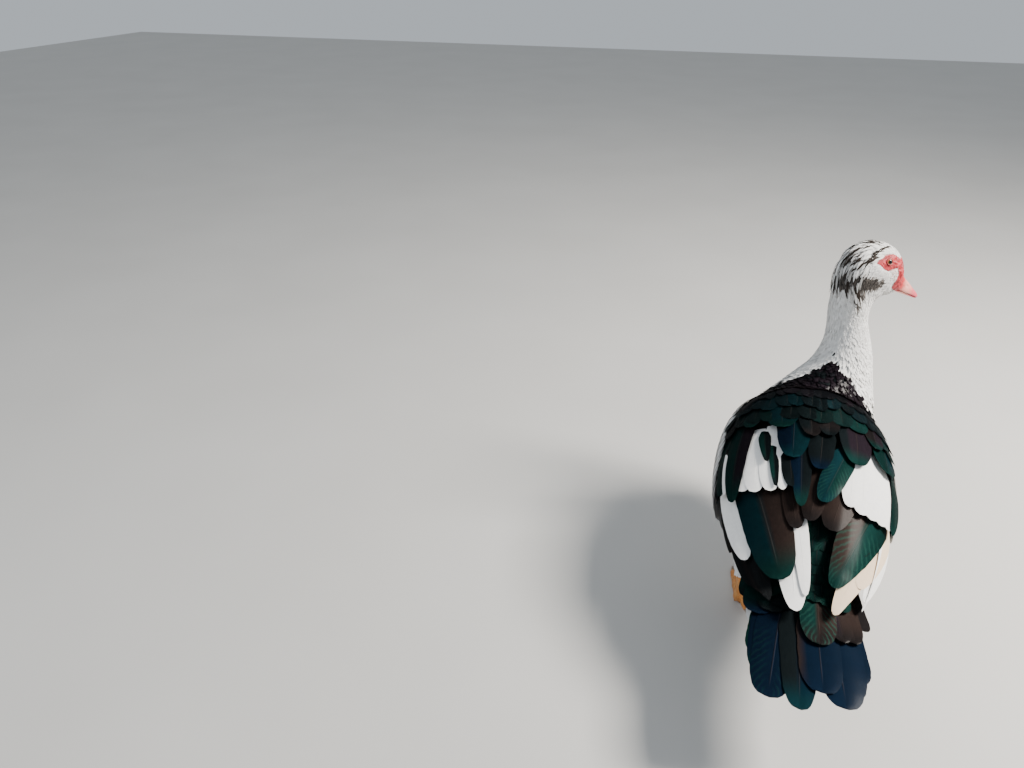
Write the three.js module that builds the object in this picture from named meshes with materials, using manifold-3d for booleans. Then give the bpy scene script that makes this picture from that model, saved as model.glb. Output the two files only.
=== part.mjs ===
// A muscovy duck standing still, life size, in millimetres with +Z up.
// The bird faces -Y, its left side is +X, and its head is turned to its right.
import * as THREE from "three";
import { mergeVertices } from "three/addons/utils/BufferGeometryUtils.js";
import Module from "manifold-3d";

const wasm = await Module();
wasm.setup();

// Gap kept between two pieces that touch, and the shortest edge that a joined body keeps.
const GAP = 0.32;
const FINEST = 0.02;

// Body tube, one row for each station from the tail root to the base of the bill. Each row is
// [axis x, axis y, yaw, back reach, back z, front reach, front z, half width, high].
// Reaches are measured from the axis, back towards the tail and front towards the breast, before
// the yaw (degrees) turns them to the bird's right. High moves the widest place up the back.
const STATIONS = [
  [0, 0, 0, 172, 188, -168, 142, 36, 0],
  [0, 0, 0, 150, 211, -142, 122, 62, -0.02],
  [0, 0, 0, 115, 237, -95, 106, 85, -0.05],
  [0, 0, 0, 70, 259, -45, 98, 100, -0.05],
  [0, 0, 0, 20, 278, 5, 93, 108, 0],
  [0, 0, 0, -35, 293, 60, 94, 109, 0.05],
  [0, 0, 0, -70, 301, 115, 104, 107, 0.1],
  [-4, 0, 0, -92, 307, 172, 126, 101, 0.12],
  [-10, -185, 0, 79, 313, 33, 158, 90, 0.12],
  [-20, -185, 0, 69, 321, 57, 200, 76, 0.1],
  [-31, -187, 3, 60, 333, 60, 244, 61, 0.05],
  [-41, -190, 7, 50, 350, 52, 284, 46, 0],
  [-44, -192, 12, 42, 371, 42, 322, 37, 0],
  [-41, -194, 20, 35, 394, 32, 356, 31.5, 0],
  [-36, -195, 30, 31, 418, 25.5, 385, 29.5, 0],
  [-36, -196, 42, 32, 443, 25.5, 408.5, 28.5, 0],
  [-38, -197, 54, 37, 466, 30, 424, 29, 0],
  [-41, -197, 61, 37, 485, 34.5, 431, 29.5, 0.05],
  [-42, -197, 63, 29.5, 504, 39.5, 433.5, 29.5, 0.1],
  [-42, -197, 64, 12, 516.5, 45.5, 434, 29, 0.12],
  [-42, -197, 64, -8.5, 519.5, 50, 435, 27, 0.1],
  [-42, -197, 64, -30.5, 514.5, 53, 436, 24.5, 0.05],
  [-42, -197, 64, -49, 500.5, 55, 437.5, 20, 0],
  [-42, -197, 64, -60, 473.5, 56.5, 441, 14, 0],
];
const NECK_ROW = 11;
const HEAD_ROW = 16;
const LAST_ROW = STATIONS.length - 1;
const BODY_SIDES = 24;
const HEAD_SIDES = 22;

// Envelope of the folded wings, as [y, top z, half width, middle z].
const ENVELOPE = [
  [-150, 296, 84, 224],
  [-100, 314, 110, 220],
  [-50, 311, 121, 214],
  [20, 296, 124, 206],
  [80, 274, 118, 197],
  [130, 249, 105, 188],
  [180, 220, 86, 181],
  [240, 190, 60, 174],
];
const WING_REACH = [-128, 118];
const WING_ANGLES = [9, 110];
const WING_DEPTH = 22;

// Tiers of wing feathers. Each pair runs from the lowest feather to the one nearest the back:
// root and tip as y and as an angle round the envelope, half width, and lift at root and tip.
const WING_TIERS = [
  { name: "primaries", count: 5, rootY: [70, 50], root: [80, 60], tipY: [208, 234], tip: [68, 31],
    half: [11, 13], lift: [-12, -9], step: 1.5, tile: 0, point: 0.75 },
  { name: "secondaries", count: 5, rootY: [36, 16], root: [95, 60], tipY: [140, 172], tip: [90, 56],
    half: [14, 15], lift: [-10, 3.6], step: 0, tile: 1.7, point: 0.35 },
  { name: "tertials", count: 3, rootY: [14, 8], root: [46, 20], tipY: [176, 166], tip: [44, 17],
    half: [19, 19], lift: [-10, 5.4], step: 0, tile: 1.2, point: 0.25 },
  { name: "greater coverts", count: 7, rootY: [-22, -40], root: [97, 28], tipY: [62, 74],
    tip: [95, 26], half: [15, 17], lift: [-10, 4.6], step: 0, tile: 1.1, point: 0.25 },
  { name: "median coverts", count: 5, rootY: [-66, -74], root: [97, 52], tipY: [2, 4],
    tip: [95, 50], half: [14, 15], lift: [-10, 3.4], step: 0, tile: 1.1, point: 0.2 },
  { name: "lesser coverts", count: 4, rootY: [-100, -106], root: [92, 52], tipY: [-46, -48],
    tip: [92, 52], half: [15, 16], lift: [-10, 3], step: 0, tile: 1.1, point: 0.2 },
  { name: "front scapulars", count: 2, rootY: [-112, -108], root: [36, 17], tipY: [-30, -26],
    tip: [36, 17], half: [20, 20], lift: [-9, 4.4], step: 0, tile: 1.1, point: 0.2 },
  { name: "long scapulars", count: 3, rootY: [-66, -56], root: [38, 14], tipY: [62, 92], tip: [40, 14],
    half: [17, 18], lift: [-10, 8.2], step: 0, tile: 1.3, point: 0.2 },
];
const VANE_THICK = 1.1;
const VANE_ROWS = [0, 0.24, 0.82, 1];

// Tail: its fleshy root as [y, middle z, half width, half height], and the fan of feathers.
const TAIL_ROOT = [
  [170, 165, 35.5, 22.5],
  [190, 162, 48, 17],
  [212, 159, 54, 11],
  [242, 155, 50, 3.5],
];
const TAIL_SLANT = 2;
const TAIL_FEATHERS = {
  pairs: 6, rootY: 206, reach: [104, 128], rootX: 42, splay: 9, swing: 6, half: 20,
  rootZ: 157, drop: 19, step: 1.25,
};
const TAIL_COVERTS = {
  count: 6, rootY: 186, reach: [66, 90], rootX: 36, splay: 12, half: 19, rootZ: 170, drop: 8,
};

// Legs and feet, on the left side; the right ones mirror them.
const THIGH = [[60, 0, 146, 40], [62, 22, 124, 34], [66, 44, 104, 22], [70, 60, 88, 12.5]];
const SHANK = [[70.6, 62.2, 85.6, 9.5], [71, 58, 79, 8.4], [72, 42, 50, 6.2], [72, 31, 27, 6.8]];
const ANKLE = [[72, 30.4, 25.7, 7.2], [72, 27, 17, 8.4], [72, 22, 9, 8.4]];
const TOES = [
  { name: "inner", turn: 39, reach: 66, half: 5.2, high: 9 },
  { name: "middle", turn: 15, reach: 80, half: 5.6, high: 10 },
  { name: "outer", turn: -9, reach: 70, half: 5.2, high: 9 },
];
const FOOT_CENTRE = [72, 24];
const WEB_THICK = 1.8;
const WEB_LIFT = 0.7;
const HALLUX = { root: [68, 27, 15], tip: [60, 45, 6.5], thick: [4.6, 2.8] };
// How far each foot stands behind (+) or ahead of (-) the middle of the stride, and in from the hip.
const STRIDE = { left: 20, right: -40 };
const STANCE_IN = 11;
const STRIDE_HEIGHTS = [32, 146];

// Bill, in its own frame from the middle of its base: [along, half width, top, mouth line].
const BILL_PITCH = 23;
const UPPER_BILL = [
  [-7, 11, 11, -11.6],
  [2, 12, 10, -12],
  [12, 11.6, 5.8, -12.2],
  [23, 10.6, 1.8, -12.3],
  [32, 10.2, -2.2, -12.3],
  [40.5, 9.8, -5.8, -12.3],
  [46, 7.2, -8.6, -12.4],
  [49, 2.8, -11, -12.7],
];
const LOWER_DEPTH = 4.6;
const BILL_REACH = 49;
const NOSTRIL = { along: 17, out: 9.6, up: -2.6, size: [3.4, 2.6, 1.5] };

// Eyes, lids, caruncles and crest, placed on the head by station row and angle from the crown.
const EYE = { row: 20.11, angle: 64, radius: 5.6, sink: 3.1, lid: 5.3, lidThick: 1 };
const CARUNCLES = { around: 8, size: 2.3, ridge: 5, ridgeSize: 2.6 };
const CREST = { rows: [17.1, 18, 18.9], across: 5, spread: 50, half: 5, long: 15 };

const rad = THREE.MathUtils.degToRad;
const mix = THREE.MathUtils.lerp;
const v3 = (x, y, z) => new THREE.Vector3(x, y, z);
const UP = v3(0, 0, 1);

const paint = (color, roughness) => new THREE.MeshStandardMaterial({ color, roughness, metalness: 0 });
const PAINT = {
  white: paint(0xe9e6df, 0.8),
  dark: paint(0x16231f, 0.5),
  bill: paint(0xd98a86, 0.45),
  orange: paint(0xc9762c, 0.6),
  claw: paint(0x6b5a45, 0.5),
  eye: paint(0x6e4d1c, 0.1),
};

// Curves and closed solids

// All columns of a table at a fractional row, on a smooth curve through its rows.
function smooth(table, row) {
  const last = table.length - 1;
  const at = THREE.MathUtils.clamp(row, 0, last);
  const i = Math.min(Math.floor(at), last - 1);
  const f = at - i;
  const near = [i - 1, i, i + 1, i + 2].map((k) => table[THREE.MathUtils.clamp(k, 0, last)]);
  return near[1].map((b, column) => {
    const [a, , c, d] = near.map((line) => line[column]);
    return b + 0.5 * f * (c - a + f * (2 * a - 5 * b + 4 * c - d + f * (3 * (b - c) + d - a)));
  });
}

// The same table read by the value in its first column.
function smoothAt(table, value) {
  const last = table.length - 1;
  let i = 0;
  while (i < last - 1 && value > table[i + 1][0]) {
    i += 1;
  }
  const span = table[i + 1][0] - table[i][0];
  return smooth(table, i + (value - table[i][0]) / span);
}

// A closed body from its points and triangles, turned so that its faces point out.
function closed(points, faces) {
  const geometry = new THREE.BufferGeometry().setFromPoints(points);
  let volume = 0;
  for (let k = 0; k < faces.length; k += 3) {
    const [a, b, c] = [points[faces[k]], points[faces[k + 1]], points[faces[k + 2]]];
    volume += a.dot(b.clone().cross(c));
  }
  geometry.setIndex(volume > 0 ? faces : faces.slice().reverse());
  return geometry;
}

// A body through rings of equally many points, closed by a flat or pointed end at both ends.
function loft(rings) {
  const count = rings[0].length;
  const points = rings.flat();
  const faces = [];
  for (let r = 0; r + 1 < rings.length; r += 1) {
    for (let k = 0; k < count; k += 1) {
      const a = r * count + k;
      const b = r * count + ((k + 1) % count);
      faces.push(a, b, b + count, a, b + count, a + count);
    }
  }
  [0, rings.length - 1].forEach((r) => {
    const centre = rings[r].reduce((sum, p) => sum.add(p), v3(0, 0, 0)).divideScalar(count);
    points.push(centre);
    for (let k = 0; k < count; k += 1) {
      const a = r * count + k;
      const b = r * count + ((k + 1) % count);
      faces.push(points.length - 1, ...(r === 0 ? [b, a] : [a, b]));
    }
  });
  return closed(points, faces);
}

// Round rings along a path of [x, y, z, radius] rows, each square to the path.
function limb(path, sides) {
  const centres = path.map(([x, y, z]) => v3(x, y, z));
  const rings = path.map((row, i) => {
    const before = centres[Math.max(i - 1, 0)];
    const after = centres[Math.min(i + 1, path.length - 1)];
    const along = after.clone().sub(before).normalize();
    const across = v3(1, 0, 0).addScaledVector(along, -along.x).normalize();
    const other = along.clone().cross(across);
    return Array.from({ length: sides }, (unused, k) => {
      const turn = (2 * Math.PI * k) / sides;
      return centres[i].clone()
        .addScaledVector(across, row[3] * Math.cos(turn))
        .addScaledVector(other, row[3] * Math.sin(turn));
    });
  });
  return loft(rings);
}

// Half width of a vane at each of its rows, for a blunt tip (0) or a pointed one (1).
function vaneWidths(half, point) {
  return [0.45, 0.85, 1 - 0.4 * point, 0.42 - 0.36 * point].map((part) => part * half);
}

// A feather's vane: rows of left edge, shaft and right edge, split alike above and below.
// Each row of the spine holds these three places on the upper face and the way up.
function vane(spine) {
  const points = [];
  spine.forEach(({ places, up }, i) => {
    const thick = VANE_THICK * (1 - 0.45 * VANE_ROWS[i]);
    places.forEach((place, k) => {
      const keel = k === 1 ? thick * 1.25 : thick;
      points.push(place, place.clone().addScaledVector(up, -keel));
    });
  });
  const faces = [];
  const quad = (a, b, c, d) => faces.push(a, b, c, a, c, d);
  for (let r = 0; r + 1 < spine.length; r += 1) {
    const o = 6 * r;
    const n = o + 6;
    quad(o, o + 2, n + 2, n);
    quad(o + 2, o + 4, n + 4, n + 2);
    faces.push(o + 1, n + 3, o + 3, o + 1, n + 1, n + 3);
    faces.push(o + 3, n + 5, o + 5, o + 3, n + 3, n + 5);
    quad(o + 1, o, n, n + 1);
    quad(o + 4, o + 5, n + 5, n + 4);
  }
  const e = 6 * (spine.length - 1);
  quad(0, 1, 3, 2);
  quad(2, 3, 5, 4);
  quad(e, e + 2, e + 3, e + 1);
  quad(e + 2, e + 4, e + 5, e + 3);
  return closed(points, faces);
}

// Joining and cutting

function solid(geometry) {
  const bare = geometry.clone();
  bare.deleteAttribute("normal");
  bare.deleteAttribute("uv");
  const merged = mergeVertices(bare, 1e-5);
  return new wasm.Manifold(new wasm.Mesh({
    numProp: 3,
    vertProperties: new Float32Array(merged.attributes.position.array),
    triVerts: new Uint32Array(merged.index.array),
  }));
}

// The largest closed surface of a joined or cut body, as a geometry.
function largest(body) {
  const parts = body.decompose();
  const main = parts.reduce((best, part) => (part.volume() > best.volume() ? part : best));
  const mesh = main.setTolerance(FINEST).getMesh();
  const geometry = new THREE.BufferGeometry();
  geometry.setAttribute("position", new THREE.BufferAttribute(mesh.vertProperties, 3));
  geometry.setIndex(new THREE.BufferAttribute(mesh.triVerts, 1));
  return geometry;
}

function fuse(geometries) {
  return geometries.map(solid).reduce((joined, piece) => joined.add(piece));
}

// The same body grown by the gap along its own normals, to cut a neighbour clear of it.
function grown(geometry, by = GAP) {
  const bare = geometry.clone();
  bare.deleteAttribute("normal");
  bare.deleteAttribute("uv");
  const merged = mergeVertices(bare, 1e-5);
  merged.computeVertexNormals();
  const places = merged.attributes.position;
  const normals = merged.attributes.normal;
  for (let k = 0; k < places.count; k += 1) {
    places.setXYZ(
      k,
      places.getX(k) + by * normals.getX(k),
      places.getY(k) + by * normals.getY(k),
      places.getZ(k) + by * normals.getZ(k),
    );
  }
  return merged;
}

// Moves a leg's points along the stride and inwards, fully at the foot and not at all at the hip.
function strode(geometry, stride) {
  const moved = geometry.clone();
  const places = moved.attributes.position;
  const [foot, hip] = STRIDE_HEIGHTS;
  for (let k = 0; k < places.count; k += 1) {
    const part = THREE.MathUtils.clamp((hip - places.getZ(k)) / (hip - foot), 0, 1);
    places.setY(k, places.getY(k) + stride * part);
    places.setX(k, places.getX(k) - STANCE_IN * part);
  }
  return moved;
}

function mirrored(geometry) {
  const other = geometry.clone().scale(-1, 1, 1);
  if (other.index) {
    const order = Array.from(other.index.array).reverse();
    other.setIndex(order);
  }
  return other;
}

// A vane laid straight along a way, its edges sagging a little to both sides.
function straightVane(root, along, up, reach, half, rise, sag, point) {
  const across = along.clone().cross(up).normalize();
  const widths = vaneWidths(half, point);
  const spine = VANE_ROWS.map((t, i) => {
    const shaft = root.clone().addScaledVector(along, reach * t).addScaledVector(up, rise(t));
    const places = [-1, 0, 1].map((side) => shaft.clone()
      .addScaledVector(across, side * widths[i])
      .addScaledVector(up, -sag * (side * widths[i]) ** 2));
    return { places, up };
  });
  return vane(spine);
}

// Torso, neck and head

// Place on the body tube at a station row and an angle from the back, positive to the left.
function skinPoint(row, angle) {
  const [x, y, yaw, back, backZ, front, frontZ, half, high] = smooth(STATIONS, row);
  const ahead = v3(-Math.sin(rad(yaw)), -Math.cos(rad(yaw)), 0);
  const side = v3(Math.cos(rad(yaw)), -Math.sin(rad(yaw)), 0);
  const top = v3(x, y, backZ).addScaledVector(ahead, -back);
  const bottom = v3(x, y, frontZ).addScaledVector(ahead, front);
  const cosine = Math.cos(rad(angle));
  const width = half * Math.sin(rad(angle)) * (1 + high * cosine);
  return top.clone().add(bottom).multiplyScalar(0.5)
    .addScaledVector(top.sub(bottom), 0.5 * cosine)
    .addScaledVector(side, width);
}

// Frame on the body tube: the place, the way out, and the way back along the coat.
function skinFrame(row, angle) {
  const small = 0.02;
  const at = skinPoint(row, angle);
  const back = skinPoint(row - small, angle).sub(skinPoint(row + small, angle)).normalize();
  const across = skinPoint(row, angle + 1).sub(skinPoint(row, angle - 1)).normalize();
  const out = across.clone().cross(back).normalize();
  const middle = skinPoint(row, 0).add(skinPoint(row, 180)).multiplyScalar(0.5);
  if (out.dot(at.clone().sub(middle)) < 0) {
    out.negate();
  }
  return { at, back, out, across: back.clone().cross(out).normalize() };
}

// A stretch of the body tube between two rows, cut square by the rungs at both ends.
function tube(from, to, steps, sides, shift) {
  const rings = Array.from({ length: steps + 1 }, (unused, i) => {
    const row = mix(from, to, i / steps);
    return Array.from({ length: sides }, (gone, k) => skinPoint(row, (360 * k) / sides));
  });
  const [top, left, bottom] = [0, 90, 180].map((angle) => skinPoint(from, angle));
  const ahead = left.clone().sub(bottom).cross(top.clone().sub(bottom)).normalize();
  if (ahead.dot(skinPoint(from + 0.5, 180).sub(bottom)) < 0) {
    ahead.negate();
  }
  rings[0].forEach((point) => point.addScaledVector(ahead, shift));
  return loft(rings);
}

const torsoShape = tube(0, NECK_ROW, 18, BODY_SIDES, 0);
const neckShape = tube(NECK_ROW, HEAD_ROW, 7, BODY_SIDES, GAP);
const headShape = tube(HEAD_ROW, LAST_ROW, 14, HEAD_SIDES, GAP);

// A ball squeezed to three half sizes along three ways.
function ball(at, ways, sizes, wide = 6, high = 4) {
  const round = new THREE.SphereGeometry(1, wide, high);
  const frame = new THREE.Matrix4().makeBasis(...ways.map((way, k) => way.clone().multiplyScalar(sizes[k])));
  return round.applyMatrix4(frame.setPosition(at));
}

function eyeCentre(side) {
  const { at, out } = skinFrame(EYE.row, side * EYE.angle);
  return at.addScaledVector(out, -EYE.sink);
}

function eye(side) {
  return new THREE.SphereGeometry(EYE.radius, 12, 8).translate(...eyeCentre(side).toArray());
}

function lids(side) {
  const { out } = skinFrame(EYE.row, side * EYE.angle);
  const ring = new THREE.TorusGeometry(EYE.lid, EYE.lidThick, 5, 12);
  const turn = new THREE.Quaternion().setFromUnitVectors(UP, out);
  const seat = eyeCentre(side).addScaledVector(out, 2.7);
  return ring.applyQuaternion(turn).translate(...seat.toArray());
}

// Bare bulbs round each eye and in a ridge over the base of the bill.
function caruncles(side) {
  const bulbs = [];
  for (let k = 0; k < CARUNCLES.around; k += 1) {
    const turn = (2 * Math.PI * k) / CARUNCLES.around;
    const row = EYE.row + 0.62 * Math.cos(turn) + 0.15;
    const angle = side * (EYE.angle + 19 * Math.sin(turn) + 3);
    const { at, out, back, across } = skinFrame(row, angle);
    const size = CARUNCLES.size * (1 + 0.16 * Math.sin(5 * k));
    bulbs.push(ball(at.addScaledVector(out, -0.3), [across, back, out], [size, size * 1.25, size * 0.8]));
  }
  for (let k = 0; k < CARUNCLES.ridge; k += 1) {
    const f = k / (CARUNCLES.ridge - 1);
    const { at, out, back, across } = skinFrame(mix(22.6, 21.7, f), side * mix(8, 96, f));
    const size = CARUNCLES.ridgeSize * (1 - 0.25 * Math.sin(3 * k));
    bulbs.push(ball(at.addScaledVector(out, -0.4), [across, back, out], [size, size, size * 0.85]));
  }
  return bulbs;
}

// Crest feathers on the crown and nape, swept back.
function crest() {
  const locks = [];
  CREST.rows.forEach((row, r) => {
    for (let k = 0; k < CREST.across; k += 1) {
      const shift = r % 2 === 0 ? 0 : 0.5;
      const angle = CREST.spread * ((k + shift) / (CREST.across - 1) - 0.5) * 1.4;
      const { at, out, back } = skinFrame(row, angle);
      const rise = (t) => mix(-1.4, 2.4, Math.sin(t * 1.4));
      locks.push(straightVane(at, back, out, CREST.long, CREST.half, rise, 0.02, 0.8));
    }
  });
  return locks;
}

// Bill

const billBase = (() => {
  const [x, y, yaw, back, backZ, front, frontZ] = smooth(STATIONS, LAST_ROW);
  const ahead = v3(-Math.sin(rad(yaw)), -Math.cos(rad(yaw)), 0);
  const side = v3(Math.cos(rad(yaw)), -Math.sin(rad(yaw)), 0);
  const at = v3(x, y, (backZ + frontZ) / 2).addScaledVector(ahead, (front - back) / 2);
  const along = ahead.clone().multiplyScalar(Math.cos(rad(BILL_PITCH)));
  along.addScaledVector(UP, -Math.sin(rad(BILL_PITCH)));
  return { at, along, side, up: side.clone().cross(along).normalize() };
})();
if (billBase.up.z < 0) {
  billBase.up.negate();
}

function billPoint(along, out, up) {
  return billBase.at.clone()
    .addScaledVector(billBase.along, along)
    .addScaledVector(billBase.side, out)
    .addScaledVector(billBase.up, up);
}

function billRings(shape) {
  const sides = 12;
  return Array.from({ length: 11 }, (unused, i) => {
    const row = smooth(UPPER_BILL, (i / 10) * (UPPER_BILL.length - 1));
    return Array.from({ length: sides }, (gone, k) => {
      const turn = (2 * Math.PI * k) / sides;
      return billPoint(row[0], row[1] * Math.sin(turn), shape(row, Math.cos(turn)));
    });
  });
}

function upperBill() {
  const shape = ([, , top, mouth], c) => mouth + (c > 0 ? (top - mouth) * c ** 0.85 : 0.9 * c);
  let body = solid(loft(billRings(shape)));
  [-1, 1].forEach((side) => {
    const at = billPoint(NOSTRIL.along, side * NOSTRIL.out, NOSTRIL.up);
    const ways = [billBase.along, billBase.side, billBase.up];
    body = body.subtract(solid(ball(at, ways, NOSTRIL.size, 10, 8)));
  });
  return body;
}

function lowerBill() {
  const shape = ([along, , , mouth], c) => {
    const depth = LOWER_DEPTH * (1 - 0.45 * THREE.MathUtils.clamp(along / BILL_REACH, 0, 1));
    return mouth - 1.3 + (c > 0 ? 0.1 * c : depth * c);
  };
  const rings = billRings(shape);
  return solid(loft(rings.slice(0, 10)));
}

// Wings

function envelopePoint(y, angle, side) {
  const [, top, half, middle] = smoothAt(ENVELOPE, y);
  const turn = rad(angle);
  return v3(side * half * Math.sin(turn), y, middle + (top - middle) * Math.cos(turn));
}

function envelopeFrame(y, angle, side) {
  const at = envelopePoint(y, angle, side);
  const back = envelopePoint(y + 1, angle, side).sub(envelopePoint(y - 1, angle, side)).normalize();
  const down = envelopePoint(y, angle + 1, side).sub(envelopePoint(y, angle - 1, side));
  const out = side > 0 ? down.clone().cross(back) : back.clone().cross(down);
  return { at, out: out.normalize() };
}

function wingPad(side) {
  const across = 9;
  const steps = 10;
  const rings = Array.from({ length: steps + 1 }, (unused, i) => {
    const y = mix(...WING_REACH, i / steps);
    const edge = Math.sin((Math.PI * i) / steps) ** 0.35;
    const outer = [];
    const inner = [];
    for (let k = 0; k < across; k += 1) {
      const { at, out } = envelopeFrame(y, mix(...WING_ANGLES, k / (across - 1)), side);
      const round = Math.sin((Math.PI * k) / (across - 1)) ** 0.3;
      outer.push(at.clone().addScaledVector(out, -13 * (1 - edge * round) - 5));
      inner.unshift(at.clone().addScaledVector(out, -WING_DEPTH));
    }
    return [...outer, ...inner];
  });
  return loft(rings);
}

// One wing feather, its shaft and both edges laid over the envelope at their own lifts.
function wingVane(tier, f, k, side) {
  const from = { y: mix(...tier.rootY, f), angle: mix(...tier.root, f) };
  const to = { y: mix(...tier.tipY, f), angle: mix(...tier.tip, f) };
  const widths = vaneWidths(mix(...tier.half, f), tier.point);
  const spine = VANE_ROWS.map((t, i) => {
    const y = mix(from.y, to.y, t);
    const angle = mix(from.angle, to.angle, t);
    const perDegree = envelopePoint(y, angle + 1, side).distanceTo(envelopePoint(y, angle, side));
    const lift = mix(...tier.lift, t ** 0.35) + tier.step * k;
    const places = [-1, 0, 1].map((edge) => {
      const { at, out } = envelopeFrame(y, angle - (edge * widths[i]) / perDegree, side);
      return at.addScaledVector(out, lift - tier.tile * edge * (widths[i] / widths[1]));
    });
    return { places, up: envelopeFrame(y, angle, side).out };
  });
  return vane(spine);
}

function wingFeathers(side) {
  return WING_TIERS.flatMap((tier) => Array.from({ length: tier.count }, (unused, k) => (
    wingVane(tier, k / (tier.count - 1), k, side)
  )));
}

function wing(side) {
  return fuse([wingPad(side), ...wingFeathers(side)]).subtract(solid(grown(torsoShape)));
}

// Tail

function tailRoot() {
  const rings = Array.from({ length: 9 }, (unused, i) => {
    const [y, middle, half, high] = smooth(TAIL_ROOT, (i / 8) * (TAIL_ROOT.length - 1));
    return Array.from({ length: 18 }, (gone, k) => {
      const turn = (2 * Math.PI * k) / 18;
      const shift = i === 0 ? GAP + TAIL_SLANT * Math.cos(turn) : 0;
      return v3(half * Math.sin(turn), y + shift, middle + high * Math.cos(turn));
    });
  });
  return loft(rings);
}

function tailVane(x, y, z, turn, reach, half, drop, point) {
  const along = v3(Math.sin(rad(turn)), Math.cos(rad(turn)), 0);
  return straightVane(v3(x, y, z), along, UP, reach, half, (t) => -drop * t, 0.002, point);
}

function tailFeathers() {
  const { pairs, rootY, reach, rootX, splay, swing, half, rootZ, drop, step } = TAIL_FEATHERS;
  const vanes = [];
  for (let k = 0; k < pairs; k += 1) {
    const f = 1 - k / (pairs - 1);
    [-1, 1].forEach((side) => {
      const level = rootZ + step * (2 * k + (side > 0 ? 1 : 0)) - step * pairs;
      const turn = side * splay * f - swing;
      const x = side * (rootX * f + 5);
      vanes.push(tailVane(x, rootY, level, turn, mix(reach[1], reach[0], f ** 1.5), half, drop, 0.15));
    });
  }
  return vanes;
}

function tailCoverts() {
  const { count, rootY, reach, rootX, splay, half, rootZ, drop } = TAIL_COVERTS;
  return Array.from({ length: count }, (unused, k) => {
    const f = (2 * k) / (count - 1) - 1;
    const high = rootZ - 7 * f * f + 0.7 * k;
    return tailVane(rootX * f, rootY, high, splay * f, mix(reach[1], reach[0], f * f), half, drop, 0.2);
  });
}

function tail() {
  return fuse([tailRoot(), ...tailFeathers(), ...tailCoverts()]);
}

// Legs

function foot() {
  const [cx, cy] = FOOT_CENTRE;
  const pieces = [limb(ANKLE, 12)];
  const ends = TOES.map(({ turn, reach, half, high }) => {
    const ahead = v3(Math.sin(-rad(turn)), -Math.cos(rad(turn)), 0);
    const aside = v3(-ahead.y, ahead.x, 0);
    const rings = [0, 0.4, 0.46, 0.74, 0.95, 1].map((t, i) => {
      const knuckle = [1.1, 0.88, 1.02, 0.86, 0.78, 0.5][i];
      const centre = v3(cx, cy, 0).addScaledVector(ahead, reach * t);
      const tall = high * knuckle * (1 - 0.25 * t);
      const wide = half * knuckle;
      return [[-0.75, 0], [0.75, 0], [1, 0.35], [0.7, 0.85], [0, 1], [-0.7, 0.85], [-1, 0.35]]
        .map(([s, h]) => centre.clone().addScaledVector(aside, s * wide).setZ(h * tall));
    });
    pieces.push(loft(rings));
    return v3(cx, cy, 0).addScaledVector(ahead, reach);
  });
  for (let k = 0; k < 2; k += 1) {
    const [a, b] = [ends[k], ends[k + 1]];
    const heel = v3(cx, cy, 0);
    const left = heel.clone().lerp(a, 0.93);
    const right = heel.clone().lerp(b, 0.93);
    const dip = left.clone().add(right).multiplyScalar(0.5).lerp(heel, 0.17);
    const outline = new THREE.Shape();
    outline.moveTo(heel.x, heel.y);
    outline.lineTo(left.x, left.y);
    outline.quadraticCurveTo(dip.x, dip.y, right.x, right.y);
    outline.closePath();
    pieces.push(new THREE.ExtrudeGeometry(outline, {
      depth: WEB_THICK, bevelEnabled: false, curveSegments: 5,
    }).translate(0, 0, WEB_LIFT));
  }
  pieces.push(limb([[...HALLUX.root, HALLUX.thick[0]], [...HALLUX.tip, HALLUX.thick[1]]], 8));
  return fuse(pieces);
}

function claws() {
  const [cx, cy] = FOOT_CENTRE;
  const front = TOES.map(({ name, turn, reach, half, high }) => {
    const ahead = v3(Math.sin(-rad(turn)), -Math.cos(rad(turn)), 0);
    const start = v3(cx, cy, 0).addScaledVector(ahead, reach + GAP);
    const path = [0, 0.35, 0.7, 1].map((t) => {
      const at = start.clone().addScaledVector(ahead, 9 * t);
      return [at.x, at.y, mix(high * 0.22, 0.9, t * t), mix(half * 0.36, 0.35, t)];
    });
    return [name, limb(path, 8)];
  });
  const root = v3(...HALLUX.tip);
  const way = root.clone().sub(v3(...HALLUX.root)).normalize();
  const path = [0, 0.5, 1].map((t) => {
    const at = root.clone().addScaledVector(way, GAP + 6 * t);
    return [at.x, at.y, at.z, mix(1.9, 0.35, t)];
  });
  return [...front, ["hind", limb(path, 8)]];
}

// Assembly

const duck = new THREE.Group();
const pieces = [];

function place(name, geometry, material) {
  const mesh = new THREE.Mesh(geometry, material);
  mesh.name = name;
  duck.add(mesh);
  pieces.push(mesh);
}

const eyes = [-1, 1].map((side) => eye(side));
const headPieces = [headShape, ...crest(), ...caruncles(-1), ...caruncles(1), lids(-1), lids(1)];
let headBody = fuse(headPieces);
eyes.forEach((ballShape) => {
  headBody = headBody.subtract(solid(grown(ballShape)));
});
const neckGrown = solid(grown(neckShape));
headBody = headBody.subtract(neckGrown);
const headGeometry = largest(headBody);
const billUpper = largest(upperBill().subtract(solid(grown(headShape))));
const billLower = largest(lowerBill().subtract(solid(grown(headShape))));
headBody = solid(headGeometry).subtract(solid(grown(billUpper))).subtract(solid(grown(billLower)));

place("torso", torsoShape, PAINT.white);
place("neck", neckShape, PAINT.white);
place("head", largest(headBody), PAINT.white);
place("bill_upper", billUpper, PAINT.bill);
place("bill_lower", billLower, PAINT.bill);
place("eye_right", eyes[0], PAINT.eye);
place("eye_left", eyes[1], PAINT.eye);
place("tail", largest(tail()), PAINT.dark);

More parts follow.
